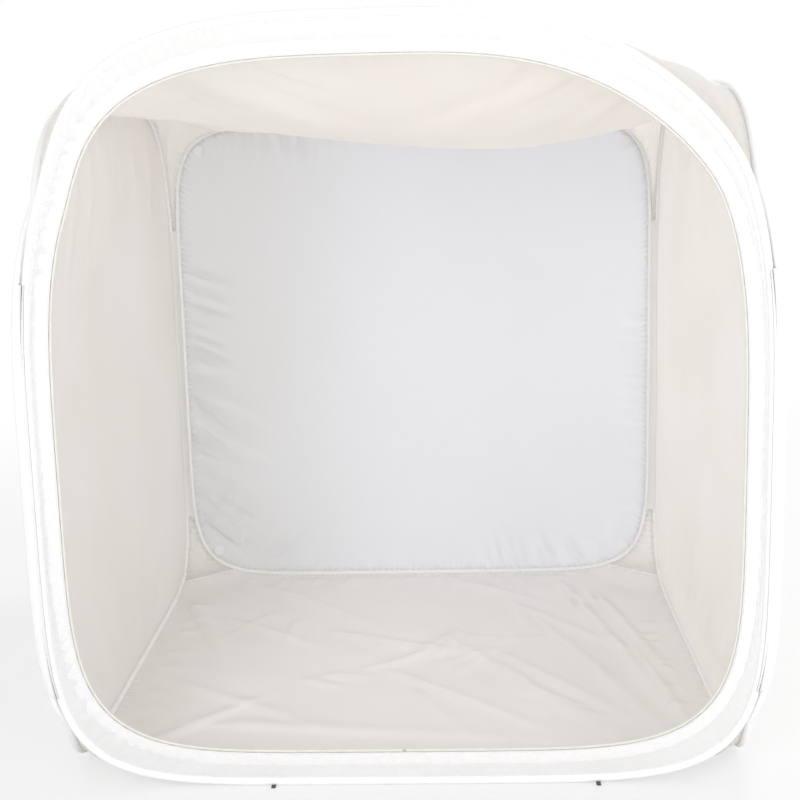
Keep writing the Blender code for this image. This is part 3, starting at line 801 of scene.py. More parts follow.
# A colour is the name of one that the panel sets, or the colour itself
CLOTHS = {
    "wall_cloth": {"colour": "wall"},
    "back_cloth": {
        "colour": "back",
        "roughness": 0.42,
        # the darker end of its random tone and of its painted shade, which darkens the left of the back
        # wall as seen from the front
        "shade": (0.955, 0.950, 0.925),
        "painted_shade_span": (0.02, 0.36),
    },
    "ceiling_cloth": {"colour": "ceiling"},
    "floor_cloth": {"colour": "floor", "glow": 0.05, "roughness": 0.38, "coat": 0.8, "crumple": 0.0009},
    "gusset_cloth": {"colour": "gusset", "crumple": 0.0009},
    "border_cloth": {
        "colour": "border",
        "glow": 0.15,
        "roughness": 0.55,
        "crumple": 0.0003,
        "pucker": 0.0003,
    },
}
TRIMS = {
    "casing_cloth": {"colour": "casing", "roughness": 0.6, "grain_scale": 60.0, "shade": 0.97},
    "loop_tape": {"colour": "loop_tape", "roughness": 0.9, "grain": 0.0009, "grain_scale": 420.0},
    "cream_piping": {"colour": "piping", "roughness": 0.6, "rib": 0.0016, "rib_depth": 0.0002},
    "seam_tape": {
        "colour": "casing",
        "roughness": 0.7,
        "rib": 0.0012,
        "rib_depth": 0.00012,
        "shade": 0.95,
    },
    "thread": {"colour": "border", "roughness": 0.5, "grain_scale": 900.0},
    "coin_plastic": {"colour": (0.99, 0.99, 0.99), "roughness": 0.4, "shade": 0.99},
    "dark_webbing": {"colour": (0.055, 0.045, 0.04), "roughness": 0.8, "grain_scale": 700.0},
    "spring_steel": {
        "colour": (0.42, 0.43, 0.45),
        "roughness": 0.32,
        "grain_scale": 200.0,
        "metallic": 1.0,
    },
    "crimp_brass": {
        "colour": (0.72, 0.58, 0.30),
        "roughness": 0.35,
        "grain_scale": 150.0,
        "metallic": 1.0,
    },
}


@cache
def finish(name):
    """The finish of this name, made once from the colours set in the panel."""
    maker, settings = (cloth_finish, CLOTHS[name]) if name in CLOTHS else (trim_finish, TRIMS[name])
    colour = settings["colour"]
    if isinstance(colour, str):
        colour = tuple(getattr(bpy.context.scene.tent_colours, colour))
    return maker(name, **{**settings, "colour": colour})


# Hoops


def wire_loop(side):
    """The open wire's points, whose two ends stand a small gap apart at the bottom middle."""
    loop = hoop_loop(side, RING_POINTS // 2)
    end = np.array([WIRE_END_GAP / 2, 0])
    return np.concatenate([loop[:1] + end, loop[1:], loop[:1] - end])


def add_hoops():
    """The wire, casing and ferrule of each side."""
    trims = bpy.context.scene.tent_trims
    for seed, side in enumerate(SIDES, 1):
        name = side.name
        wire = place(side, *wire_loop(side).T)
        shape = {"Radius": WIRE_RADIUS, "Sides": 8, "Gather_Depth": 0.0, "Seed": seed}
        add_tube(name + "_spring_wire", name, "spring_steel", wire, False, name + "_hoop_wire", **shape)
        casing = place(side, *hoop_loop(side).T)
        shape = {"Radius": CASING_RADIUS, "Sides": 14, "Seed": seed}
        shape.update({"Gather_Depth": trims.gather_depth, "Gather_Length": trims.gather_length})
        add_tube(casings_of(side)[0], name, "casing_cloth", casing, True, name + "_hoop_casing", **shape)
        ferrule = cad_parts[name + "_hoop_ferrule"]
        ferrule.data.materials.clear()
        ferrule.data.materials.append(finish("crimp_brass"))


# Border of the opening


def hem_points(turns, outset):
    """Points of the hem, moved outward from it."""
    return inset(outline_at(HEM_OUTLINE, turns), -outset)


def corner_puckers(points, around, depth):
    """Small folds across the border, deepest at its two left corners."""
    lift = np.zeros(len(points))
    for across, up, width, weight in PUCKERED_CORNERS:
        near = np.exp(-((points[:, 0] - across) ** 2 + (points[:, 1] - up) ** 2) / width**2)
        lift += weight * near * np.sin(around * 2 * math.pi / PUCKER_LENGTH + 3 * np.sin(around * 31))
    return depth * lift


def border_rows(outer, inner, rows, lift_of):
    """Rows of a band between two loops of the front plane. lift_of gives the outward lift of a row."""
    grid = []
    for share in np.linspace(0, 1, rows):
        row = outer + (inner - outer) * share
        grid.append(place(FRONT, *row.T, lift_of(share, row)))
    return np.stack(grid)


def add_border():
    """The border cloth, with the loop tape on its face and the piping of its hem."""
    pucker = bpy.context.scene.tent_cloth.border_pucker
    turns = even_turns(FRONT_OUTLINE, RING_POINTS)
    outer = inset(outline_at(FRONT_OUTLINE, turns), CASING_RADIUS * 0.8)
    inner = hem_points(turns, 2 * PIPING_RADIUS - HEM_LAP)
    around = lengths_along(outer)
    total = float(around[-1])
    circle = around / total * 2 * math.pi

    def puff(share, row):
        swell = BORDER_SWELL * math.sin(math.pi * share) ** 0.8
        fine = RIPPLE_DEPTH * np.sin(circle * BORDER_RIPPLES + 2.4 * np.sin(circle * 31))
        return swell + (corner_puckers(row, around, pucker) + fine) * math.sin(math.pi * share)

    rows = 15
    grid = border_rows(outer, inner, rows, puff)
    width = np.linalg.norm(outer - inner, axis=1)
    across = np.linspace(0, 1, rows)[:, None] * width
    flat, edge = paired(around, across), paired(around, np.minimum(across, width - across))
    mesh = cloth_mesh("front_border_cloth", grid, BORDER_THICKNESS, flat, edge, wrap=True)
    piece = add_piece("front_border_cloth", mesh, "front", "border_cloth", "front_border")
    add_loop_tape(turns, pucker)
    piping = place(FRONT, *hem_points(turns, PIPING_RADIUS).T)
    shape = {"Radius": PIPING_RADIUS, "Sides": 12, "Seed": 9}
    shape.update({"Gather_Depth": 0.0002, "Gather_Length": 0.008})
    add_tube("hem_piping", "front", "cream_piping", piping, True, "opening_binding", **shape)


def add_loop_tape(turns, pucker):
    """The napped tape beside the hem. It is sewn flat, and small creases cross it where it bends."""
    start = 2 * PIPING_RADIUS + TRIM_GAP
    outer, inner = hem_points(turns, start + LOOP_TAPE_WIDTH), hem_points(turns, start)
    around = lengths_along(inner)
    length = float(around[-1])
    draw = np.random.default_rng(21)
    creases = [(draw.uniform(0, length), draw.uniform(-1, 1)) for _ in range(LOOP_TAPE_CREASES)]
    base = (BORDER_THICKNESS + LOOP_TAPE_THICKNESS) / 2 + LOOP_TAPE_LIFT

    def lie(share, row):
        fold = np.zeros(len(row))
        for spot, skew in creases:
            fold += np.exp(-(((around - spot - 0.012 * skew * share) / CREASE_WIDTH) ** 2))
        round_edge = LOOP_TAPE_EDGE * math.sin(math.pi * share) ** 0.5
        return base + round_edge + CREASE_DEPTH * fold + 0.5 * corner_puckers(row, around, pucker)

    rows = 9
    grid = border_rows(outer, inner, rows, lie)
    flat = paired(around, np.linspace(0, LOOP_TAPE_WIDTH, rows)[:, None])
    mesh = cloth_mesh("loop_fastening_tape", grid, LOOP_TAPE_THICKNESS, flat, wrap=True)
    piece = add_piece("loop_fastening_tape", mesh, "front", "loop_tape", "front_loop_tape")


# Walls


def wall_runs(side, count=400):
    """The edge of a wall as four runs between the middles of its corners, with the length along it."""
    runs, start = [], 0.0
    for first in (25, -5, 5, 15):
        run = outline_run(side.outline, first, first + STEPS // 4, count)
        run = inset(run, CASING_RADIUS * 0.9, closed=False)
        runs.append(with_length(evenly(run, count), start))
        start = runs[-1][-1, 2]
    return runs


BACK_LINES = (
    # wrinkles that run down and right from the left edge of the back wall, seen from the front
    fan(3, (-0.440, 0.62), (-0.432, 0.12), 0.13, -28, -22, 0.0056, 0.0092, 19)
    + fan(4, (-0.440, 0.44), (-0.425, 0.10), 0.22, -36, -10, 0.0078, 0.0100, 8)
    # short pleats that hang from the left half of the top
    + fan(5, (-0.40, 0.872), (-0.12, 0.876), 0.095, -90, 10, 0.0050, 0.0052, 17)
    + fan(6, (-0.10, 0.876), (0.40, 0.872), 0.060, -90, -10, 0.0060, 0.0024, 13)
    # the bottom corners
    + fan(7, (-0.42, 0.11), (-0.30, 0.03), 0.15, 42, -30, 0.0065, 0.0060, 8)
    + fan(8, (0.10, 0.02), (0.40, 0.03), 0.10, 112, 24, 0.0062, 0.0046, 12)
    + fan(9, (0.44, 0.10), (0.435, 0.52), 0.08, 172, 16, 0.0055, 0.0036, 17)
)
LEFT_LINES = (
    # folds that hang from the top towards the front. Across is depth here, with the front at -0.45
    fan(11, (-0.36, 0.86), (-0.05, 0.905), 0.36, -88, 10, 0.0110, 0.0110, 10)
    + fan(12, (-0.10, 0.905), (0.38, 0.895), 0.22, -84, 12, 0.0100, 0.0075, 12)
    + fan(13, (-0.40, 0.06), (0.38, 0.05), 0.15, 92, -30, 0.0110, 0.0040, 15)
    + [
        (-0.33, 0.80, 0.20, 0.34, 0.030, 0.0030),
        (0.40, 0.84, 0.05, 0.40, 0.026, 0.0026),
        (-0.30, 0.30, 0.28, 0.12, 0.026, 0.0022),
    ]
)
RIGHT_LINES = (
    fan(14, (-0.34, 0.87), (0.38, 0.895), 0.24, -92, -10, 0.0120, 0.0044, 14)
    + fan(15, (-0.40, 0.06), (0.38, 0.05), 0.18, 88, 26, 0.0110, 0.0042, 16)
    + [(0.05, 0.86, 0.02, 0.15, 0.030, 0.0022), (-0.18, 0.80, -0.16, 0.20, 0.034, -0.0024)]
)


# for each wall: its lines, the seed and depth of its swells, and the turn of across as seen from inside
WALL_FOLDS = {
    "back": (BACK_LINES, 31, 0.0016, -1),
    "left": (LEFT_LINES, 32, 0.0020, -1),
    "right": (RIGHT_LINES, 33, 0.0015, 1),
}


def wall_details(side, across, up):
    """Folds of a wall, towards the inside of the tent."""
    lines, seed, broad, sign = WALL_FOLDS[side.name]
    depth = bpy.context.scene.tent_cloth.fold_depth
    folds = ridges(sign * across, up, lines) + swells(sign * across, up, seed, 9, 0.16, 0.55, broad)
    return depth * folds


def add_walls():
    """The stretched walls, which hang a little inward. Their folds are pressed flat as the tent folds."""
    cloth = bpy.context.scene.tent_cloth
    for side in (BACK, LEFT, RIGHT):
        runs = wall_runs(side)
        share, edge = square_grid(runs, BACK_GRID_HALF if side is BACK else GRID_HALF)
        middle = np.array([0, WAIST])
        reach = edge[..., :2] - middle
        flat = middle + reach * share[..., None]
        across, up = flat[..., 0], flat[..., 1]
        belly = -WALL_BELLY * (1 - share**2)
        held = smooth_step((1 - share) * 14)
        lift = belly - wall_details(side, across, up) * (0.25 + 0.75 * held) * (share < 1)
        rim = paired(edge[..., 2], (1 - share) * np.linalg.norm(reach, axis=-1))
        name = side.name + "_wall_cloth"
        mesh = cloth_mesh(name, place(side, across, up, lift), cloth.thickness, flat, rim)
        look = "back_cloth" if side is BACK else "wall_cloth"
        piece = add_piece(name, mesh, side.name, look, side.name + "_wall")
        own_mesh(piece)


# Ceiling, floor and gussets


def edge_step(side, top, row):
    """The step of a gusset row on a side's right edge. The left edge mirrors it."""
    return side.first_top_step + row if top else -(side.first_bottom_step + row)


def inner_run(side, first, last, count):
    """World points along a casing's face towards the inside of the tent."""
    return place(side, *outline_run(side.outline, first, last, count).T, -EDGE_REACH)


def gusset_edges(near, far, top, count):
    """The two casing runs that a gusset joins, from its tip to the sheet."""
    runs = []
    for side, mirrored in ((near, False), (far, True)):
        first = step_at(side.outline, GUSSET_TIPS[top])
        last = edge_step(side, top, GUSSET_STEPS)
        if mirrored:
            first, last = STEPS // 2 - first, STEPS // 2 - last
        runs.append(inner_run(side, first, last, count))
    return runs


def sheet_runs(top, count=400):
    """The edge of the ceiling or floor as four runs between the middles of its corner cuts."""
    half = STEPS // 2
    middles = []
    for near, far, _, _ in CORNERS:
        near_edge, far_edge = gusset_edges(near, far, top, 2)
        middles.append((near_edge[-1] + far_edge[-1]) / 2)
    runs, length = [], 0.0
    for index, side in enumerate(SIDES):
        last = edge_step(side, top, GUSSET_STEPS)
        casing = inner_run(side, half - last, last + (0 if top else STEPS), count)
        before = evenly(np.stack([middles[index - 1], casing[0]]), count // 10)
        after = evenly(np.stack([casing[-1], middles[index]]), count // 10)
        run = middled_run(side, np.concatenate([before[:-1], casing, after[1:]]), count)
        runs.append(with_length(run, length))
        length = runs[-1][-1, 3]
    return runs


def middled_run(side, run, count):
    """A run with its points spaced evenly on each side of its middle, so that a side's middle is on the
    cut."""
    if side in (LEFT, RIGHT):
        crossing = int(np.argmin(np.abs(run[:, 1])))
        halves = (run[: crossing + 1], run[crossing:])
        points = np.concatenate([evenly(halves[0], count)[:-1], evenly(halves[1], count)])
        points[count - 1, 1] = 0.0
        return points
    return evenly(run, 2 * count - 1)


CEILING_LINES = (
    # seen from below, with the front at the bottom: folds fan from the front corners and the left side
    fan(41, (-0.40, -0.36), (-0.22, -0.42), 0.46, 48, -34, 0.0170, 0.0090, 7)
    + fan(42, (0.24, -0.42), (0.40, -0.36), 0.40, 126, -30, 0.0170, 0.0085, 7)
    + fan(43, (-0.43, -0.30), (-0.43, 0.34), 0.16, 2, 30, 0.0110, 0.0048, 12)
    + fan(44, (0.43, 0.34), (0.43, -0.30), 0.14, 178, 30, 0.0110, 0.0040, 12)
    + fan(45, (-0.20, -0.44), (0.22, -0.44), 0.12, 90, -16, 0.0090, 0.0034, 14)
    + fan(46, (-0.34, 0.44), (0.34, 0.44), 0.12, -90, 16, 0.0110, 0.0020, 15)
)
FLOOR_LINES = (
    # long creases towards the front right, puckers along the seams, and short ones left by folding
    [
        (0.13, 0.02, 0.36, -0.30, 0.0090, 0.0060),
        (0.05, 0.08, 0.33, -0.36, 0.0100, 0.0055),
        (-0.04, -0.06, 0.24, -0.33, 0.0080, 0.0045),
        (0.20, 0.22, 0.40, -0.05, 0.0090, 0.0050),
        (-0.30, -0.26, 0.30, -0.34, 0.0110, 0.0040),
        (-0.36, 0.20, -0.12, 0.02, 0.0080, 0.0040),
        (-0.28, 0.36, -0.02, 0.10, 0.0090, 0.0035),
        (0.10, 0.38, 0.32, 0.16, 0.0090, 0.0040),
        (-0.38, -0.10, -0.10, -0.30, 0.0090, 0.0038),
        (0.00, -0.14, 0.10, -0.36, 0.0080, 0.0040),
        (-0.14, 0.12, 0.14, -0.02, 0.0080, 0.0036),
        (0.27, 0.36, 0.42, -0.36, 0.0080, 0.0090),
        (0.33, 0.30, 0.43, -0.20, 0.0070, 0.0075),
        (0.18, 0.26, 0.40, -0.38, 0.0090, 0.0080),
        (0.36, 0.10, 0.42, -0.40, 0.0060, 0.0060),
        (-0.42, -0.38, -0.20, -0.12, 0.0090, 0.0060),
        (-0.43, 0.28, -0.30, -0.05, 0.0080, 0.0050),
    ]
    + fan(51, (0.42, 0.20), (0.41, -0.34), 0.07, 205, 40, 0.0070, 0.0022, 9)
    + fan(52, (-0.42, -0.30), (-0.42, 0.30), 0.07, -18, 50, 0.0080, 0.0020, 8)
    + fan(53, (-0.34, 0.43), (0.34, 0.43), 0.08, -90, 30, 0.0070, 0.0030, 16)
    + fan(54, (0.34, -0.43), (-0.34, -0.43), 0.06, 90, 30, 0.0080, 0.0022, 10)
    + fan(55, (-0.20, -0.10), (0.24, 0.10), 0.17, 70, 240, 0.0080, 0.0030, 14)
    + fan(56, (-0.30, 0.25), (0.32, -0.26), 0.20, 20, 300, 0.0090, 0.0028, 12)
)


def ceiling_points():
    """The shares and edge of the ceiling's grid, and its points."""
    share, edge = square_grid(sheet_runs(True), GRID_HALF)
    across, depth = edge[..., 0] * share, edge[..., 1] * share
    waves = swells(across, depth, 34, 8, 0.2, 0.6, 0.0040)
    folds = bpy.context.scene.tent_cloth.fold_depth * (ridges(across, depth, CEILING_LINES) + waves)
    held = smooth_step((1 - share) * 9)
    slack = (CEILING_SLACK + CEILING_LEAN * across) * (1 - share**2)
    height = CEILING_LOW + (edge[..., 2] - CEILING_LOW) * share**2 - slack - folds * held
    return share, edge, np.stack([across, depth, height], -1)


def floor_points():
    """The shares and edge of the floor's grid, and its points. All its creases rise."""
    share, edge = square_grid(sheet_runs(False), GRID_HALF)
    across, depth = edge[..., 0] * share, edge[..., 1] * share
    lines = [(*line[:5], abs(line[5])) for line in FLOOR_LINES]
    waves = swells(across, depth, 35, 8, 0.10, 0.30, 0.0010)
    creases = ridges(across, depth, lines) + waves - waves.min() + FLOOR_LIFT
    folds = bpy.context.scene.tent_cloth.fold_depth * creases
    rise = np.maximum(0, (share - FLOOR_EDGE_SHARE) / (1 - FLOOR_EDGE_SHARE)) ** 2
    held = smooth_step((1 - share) * 12)
    height = FLOOR_LEVEL + (edge[..., 2] - FLOOR_LEVEL) * rise + folds * held
    return share, edge, np.stack([across, depth, height], -1)


def add_lying_sheet(kind, made):
    """The ceiling or the floor, cut across its middle. Each half bunches in its own hoop's plane as the
    tent folds."""
    cloth = bpy.context.scene.tent_cloth
    share, edge, grid = made
    rim = paired(edge[..., 3], (1 - share) * np.linalg.norm(edge[..., :2], axis=-1))
    front_half = np.zeros((2 * GRID_HALF, 2 * GRID_HALF), bool)
    front_half[:GRID_HALF] = True
    for half, side, keep, facing in (("front", FRONT, front_half, -1), ("rear", BACK, ~front_half, 1)):
        name = f"{half}_{kind}_cloth"
        mesh = cloth_mesh(name, grid, cloth.thickness, grid[..., :2], rim, keep=keep)
        piece = add_piece(name, mesh, side.name, kind + "_cloth", kind + "_sheet")
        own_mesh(piece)


def add_ceiling():
    """The sagging ceiling."""
    add_lying_sheet("ceiling", ceiling_points())


def add_floor():
    """The creased floor."""
    add_lying_sheet("floor", floor_points())


def gusset_grid(near, far, top, phase, rows=60, columns=16):
    """A gusset's points from its tip to the sheet, with its sag and folds, and its width along it."""
    near_edge, far_edge = gusset_edges(near, far, top, rows)
    down, along = np.linspace(0, 1, rows)[:, None], np.linspace(0, 1, columns)
    grid = near_edge[:, None] * (1 - along[:, None]) + far_edge[:, None] * along[:, None]
    width = np.linalg.norm(grid[:, -1] - grid[:, 0], axis=-1)[:, None]
    span = width * np.sin(math.pi * along)
    bend = np.sin(math.pi * down)
    folds = GUSSET_FOLD_SHARE * np.sin(5 * math.pi * along + 2 * down + phase)
    lift = span * bend * (folds - GUSSET_SAG_SHARE)
    inward = -grid_normals(grid)
    centre = np.array([0, 0, WAIST])
    flip = np.sign(((centre - grid) * inward).sum(-1).mean())
    return grid + inward * flip * lift[..., None], width


def add_gussets():
    """The cloth in the eight corners, with a cord where each meets the ceiling or floor."""
    cloth = bpy.context.scene.tent_cloth
    for index, (near, far, corner, body) in enumerate(CORNERS):
        for top in (True, False):
            grid, width = gusset_grid(near, far, top, index)
            name = corner + ("_top_gusset" if top else "_bottom_gusset")
            across = np.linspace(0, 1, grid.shape[1]) * width
            length = lengths_along(grid[:, 0])[:, None]
            rim = paired(length, np.minimum(across, width - across))
            mesh = cloth_mesh(name + "_cloth", grid, cloth.thickness, paired(across, length), rim)
            piece = add_piece(name + "_cloth", mesh, body, "gusset_cloth", name)
            cord = seam_cord(name + "_cord", body, grid[-1, 0], grid[-1, -1])
            for part in (piece, cord):
                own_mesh(part)


# Seams, stitches and small pieces


def add_seam_tapes():
    """Ribbed tapes on the outer edge of the front and back casings, where the side hoops are sewn."""
    reach = CASING_RADIUS + TAPE_LIFT
    angles = np.radians(np.linspace(-TAPE_HALF_WRAP, TAPE_HALF_WRAP, 7))
    across = (angles * reach)[:, None]
    half = STEPS // 2
    for side, ends in ((FRONT, ("right", "left")), (BACK, ("left", "right"))):
        low, high = (step_at(side.outline, height) for height in TAPE_ENDS)
        for end, steps in zip(ends, ((low, high), (half - high, half - low))):
            run = outline_run(side.outline, *steps, 300)
            rows = []
            for angle in angles:
                spots = inset(run, -reach * math.cos(angle), closed=False)
                rows.append(place(side, *spots.T, reach * math.sin(angle)))
            grid = np.stack(rows)
            length = lengths_along(run)
            name = f"{side.name}_{end}_seam_tape"
            mesh = cloth_mesh(name + "_ribbed", grid, TAPE_THICKNESS, paired(length, across))
            store_along(mesh, np.broadcast_to(length, grid.shape[:2]))
            piece = add_piece(name + "_ribbed", mesh, side.name, "seam_tape", name)


def add_seam_webs():
    """Cloth that bridges the two casings of each corner seam, inside and out, with a soft valley."""
    heights = np.linspace(*TAPE_ENDS, 320)
    wave = 0.0002 * np.sin(heights * 2 * math.pi / WEB_RIPPLE + 2 * np.sin(heights * 90))
    shares = np.linspace(0, 1, 9)
    for near, far, corner, _ in CORNERS:
        start = place(near, half_width_at(near.outline, heights), heights)
        end = place(far, -half_width_at(far.outline, heights), heights)
        side = FRONT if FRONT in (near, far) else BACK
        outward = np.array([math.sin(side.heading), -math.cos(side.heading), 0])
        for face, sign in (("outer", 1), ("inner", -1)):
            rows = []
            for share in shares:
                lift = CASING_RADIUS + WEB_LIFT - (WEB_VALLEY + wave) * math.sin(math.pi * share) ** 2
                rows.append(start * (1 - share) + end * share + sign * lift[:, None] * outward)
            grid = np.stack(rows)
            width = np.linalg.norm(grid[-1] - grid[0], axis=-1)
            across = shares[:, None] * width
            name = f"{corner}_{face}_seam_web"
            mesh = cloth_mesh(name, grid, WEB_THICKNESS, paired(heights, across))
            store_along(mesh, np.broadcast_to(heights, across.shape))
            piece = add_piece(name, mesh, side.name, "seam_tape", corner + "_seam_tape")


def seam_cord(name, body, start, end):
    """A thin cord of piping across the end of a gusset."""
    share = np.linspace(0, 1, 40)[:, None]
    points = start * (1 - share) + end * share
    shape = {"Radius": CORD_RADIUS, "Sides": 8, "Gather_Depth": 0.0002, "Gather_Length": 0.006, "Seed": 5}
    return add_tube(name, body, "casing_cloth", points, False, **shape)


def stitch_rows():
    """Paths of the seams' stitches, for each body."""
    turns = even_turns(FRONT_OUTLINE, RING_POINTS)
    loops = [(hem_points(turns, outset), lift) for outset, lift in HEM_STITCHES]
    distance, lift = FRONT_STITCHES
    loops.append((hoop_loop(FRONT, inward=CASING_RADIUS + distance), lift))
    rows = {"front": [(place(FRONT, *loop.T, lift), True) for loop, lift in loops]}
    for side in (BACK, LEFT, RIGHT):
        loop = hoop_loop(side, inward=CASING_RADIUS + WALL_STITCHES)
        rows[side.name] = [(place(side, *loop.T, lift), True) for lift in WALL_STITCH_LIFTS]
    return rows


def add_stitches():
    """The stitches of every seam."""
    trims = bpy.context.scene.tent_trims
    thread = {"Stitch_Length": trims.stitch_length, "Gap": trims.stitch_gap}
    thread.update({"Thread_Radius": trims.thread_radius, "Material": finish("thread")})
    for seed, (body, rows) in enumerate(stitch_rows().items(), 61):
        mesh = run_tree(stitch_tree(), path_mesh(rows), Seed=seed, **thread)
        add_piece(body + "_seam_stitches", mesh, body, "thread")


# profiles of a backdrop coin and of its field of hooks, in shares of the coin's radius and thickness
COIN_SHARES = (
    (0, 0),
    (0.96, 0),
    (1, 0.2),
    (1, 0.65),
    (0.96, 0.86),
    (0.90, 0.90),
    (0.80, 0.88),
    (0, 0.88),
)
FIELD_SHARES = ((0, 0), (0.76, 0), (0.76, 0.1), (0, 0.1))


def turned_disc(name, shares, radius, height, sides):
    """A solid turned about Z from shares of its radius and height. The first and last are on the axis."""
    angles = np.linspace(0, 2 * math.pi, sides, endpoint=False)
    circle = np.stack([np.cos(angles), np.sin(angles), 0 * angles], -1)
    rings = [circle * (radius * out) + (0, 0, height * up) for out, up in shares[1:-1]]
    points = np.concatenate([[(0, 0, height * shares[0][1])], *rings, [(0, 0, height * shares[-1][1])]])
    last = len(points) - 1
    faces = []
    for k in range(sides):
        after = (k + 1) % sides
        faces.append((0, 1 + after, 1 + k))
        for ring in range(len(rings) - 1):
            first = 1 + ring * sides
            faces.append((first + k, first + after, first + sides + after, first + sides + k))
        faces.append((last - sides + k, last - sides + after, last))
    mesh = bpy.data.meshes.new(name)
    mesh.from_pydata(points.tolist(), [], faces)
    mesh.shade_smooth()
    return mesh


def join_meshes(name, meshes):
    """One mesh from several, smooth but for its sharp edges."""
    points, faces = [], []
    for mesh in meshes:
        first = len(points)
        points += [tuple(vertex.co) for vertex in mesh.vertices]
        faces += [[first + k for k in face.vertices] for face in mesh.polygons]
    joined = bpy.data.meshes.new(name)
    joined.from_pydata(points, [], faces)
    joined.shade_smooth()
    joined.set_sharp_from_angle(angle=math.radians(35))
    return joined


def add_coins():
    """A round hook fastener in each corner of the back wall's inner face."""
    trims = bpy.context.scene.tent_trims
    hooks = {"Spacing": trims.hook_spacing, "Hook_Radius": trims.hook_radius, "Seed": 7}
    for name in COINS:
        low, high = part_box(name)
        middle = (low + high) / 2
        radius, thickness = (high.x - low.x) / 2, high.y - low.y
        disc = turned_disc("coin", COIN_SHARES, radius, thickness, 40)
        field = turned_disc("field", FIELD_SHARES, radius, thickness, 32)
        field.transform(Matrix.Translation((0, 0, thickness * 0.82)))
        hooked = run_tree(hook_tree(), field, Material=finish("coin_plastic"), **hooks)
        merged = join_meshes(name + "_hooked", [disc, hooked])
        turn = Matrix.Rotation(math.pi / 2, 4, "X")
        merged.transform(Matrix.Translation((middle.x, high.y, middle.z)) @ turn)
        add_piece(name + "_hooked", merged, "back", "coin_plastic", name)


def add_tie_tabs():
    """Folded loops of dark webbing under the front casing."""
    for name in ("left_tie_tab", "right_tie_tab"):
        low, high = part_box(name)
        size, middle = high - low, (low + high) / 2
        thick = size.z * 0.42
        across = np.linspace(-0.5, 0.5, 7) * size.x * 0.98
        ripple = 0.03 * size.z * np.cos(across * 2600)
        rows = []
        for share in np.linspace(0, 1, 15):
            ahead = -math.sin(math.pi * share) ** 0.6 * size.y * 0.97
            lift = (size.z - thick) / 2 * math.cos(math.pi * share)
            rows.append(np.stack([across, ahead + 0 * across, lift + ripple], -1))
        grid = np.stack(rows) + np.array([middle.x, high.y - thick / 2, middle.z])
        mesh = cloth_mesh(name + "_webbing", grid, thick, grid[..., :2])
        add_piece(name + "_webbing", mesh, "front", "dark_webbing", name)


# Stage


def add_ground():
    """Pale ground that fades into the white of the background."""
    index = np.linspace(-GROUND_REACH, GROUND_REACH, GROUND_POINTS)
    across, depth = np.meshgrid(index, index)
    grid = np.stack([across, depth, 0 * across], -1).reshape(-1, 3)
    ids = np.arange(GROUND_POINTS**2).reshape(GROUND_POINTS, -1)
    faces = np.stack([ids[:-1, :-1], ids[:-1, 1:], ids[1:, 1:], ids[1:, :-1]], -1).reshape(-1, 4)
    mesh = bpy.data.meshes.new("studio_floor")
    mesh.from_pydata(grid.tolist(), [], faces.tolist())
    floor = linked("studio_floor", mesh)
    material, tree = new_material("studio_floor")
    paint = node(tree, "ShaderNodeBsdfDiffuse", {"Color": (0.86, 0.86, 0.86, 1)})
    white = node(tree, "ShaderNodeEmission", {"Color": WHITE, "Strength": 1.0})
    seen = node(tree, "ShaderNodeLightPath").outputs["Is Camera Ray"]
    spot = node(tree, "ShaderNodeTexCoord").outputs["Object"]
    away = node(tree, "ShaderNodeVectorMath", {0: spot}, operation="LENGTH").outputs["Value"]
    amount = maths(tree, "MULTIPLY", seen, eased(tree, away, 0.7, 2.6, 0.62, 1.0))
    mixed = node(tree, "ShaderNodeMixShader", {0: amount, 1: paint.outputs[0], 2: white.outputs[0]})
    end_material(tree, mixed.outputs[0])
    mesh.materials.append(material)


def light_room(strength):
    """Even light from all round, which is plain white where it is seen."""
    world = bpy.data.worlds.new("studio_light")
    world.use_nodes = True
    tree = world.node_tree
    tree.nodes.clear()
    lit = node(tree, "ShaderNodeBackground", {"Color": WHITE, "Strength": strength})
    shown = node(tree, "ShaderNodeBackground", {"Color": WHITE, "Strength": 1.0})
    path = node(tree, "ShaderNodeLightPath").outputs
    rays = maths(tree, "MAXIMUM", path["Is Camera Ray"], path["Is Glossy Ray"])
    rays = maths(tree, "MAXIMUM", rays, path["Is Transmission Ray"])
    mixed = node(tree, "ShaderNodeMixShader", {0: rays, 1: lit.outputs[0], 2: shown.outputs[0]})
    node(tree, "ShaderNodeOutputWorld", {"Surface": mixed.outputs[0]})
    bpy.context.scene.world = world


def add_camera():
    """The camera, where the photograph was taken from."""
    camera = bpy.data.cameras.new("camera")
    camera.sensor_width = 36.0
    camera.lens = CAMERA_FOCAL * camera.sensor_width / PICTURE_SIDE
    camera.clip_start, camera.clip_end = 0.05, 50
    holder = linked("camera", camera)
    holder.location = CAMERA_PLACE
    yaw, pitch, roll = (math.radians(angle) for angle in CAMERA_TURN)
    ahead = Vector((math.sin(yaw) * math.cos(pitch), math.cos(yaw) * math.cos(pitch), math.sin(pitch)))
    level = Vector((math.cos(yaw), -math.sin(yaw), 0))
    above = level.cross(ahead)
    right = math.cos(roll) * level + math.sin(roll) * above
    up = -math.sin(roll) * level + math.cos(roll) * above
    holder.rotation_euler = Matrix((right, up, -ahead)).transposed().to_euler()
    bpy.context.scene.camera = holder


def add_stage():
    """The ground, light and camera of the picture."""
    light = bpy.context.scene.tent_light
    add_ground()
    light_room(light.world_strength)
    for name, spot, size in LAMPS:
        lamp = bpy.data.lights.new(name + "_light", "AREA")
        lamp.shape = "DISK"
        lamp.size = size
        lamp.energy = getattr(light, name + "_power")
        holder = linked(lamp.name, lamp)
        holder.location = spot
        holder.rotation_euler = (LAMP_AIM - Vector(spot)).to_track_quat("-Z", "Y").to_euler()
    add_camera()
    bpy.context.scene.view_settings.view_transform = "Standard"


# Settings, operators and panel


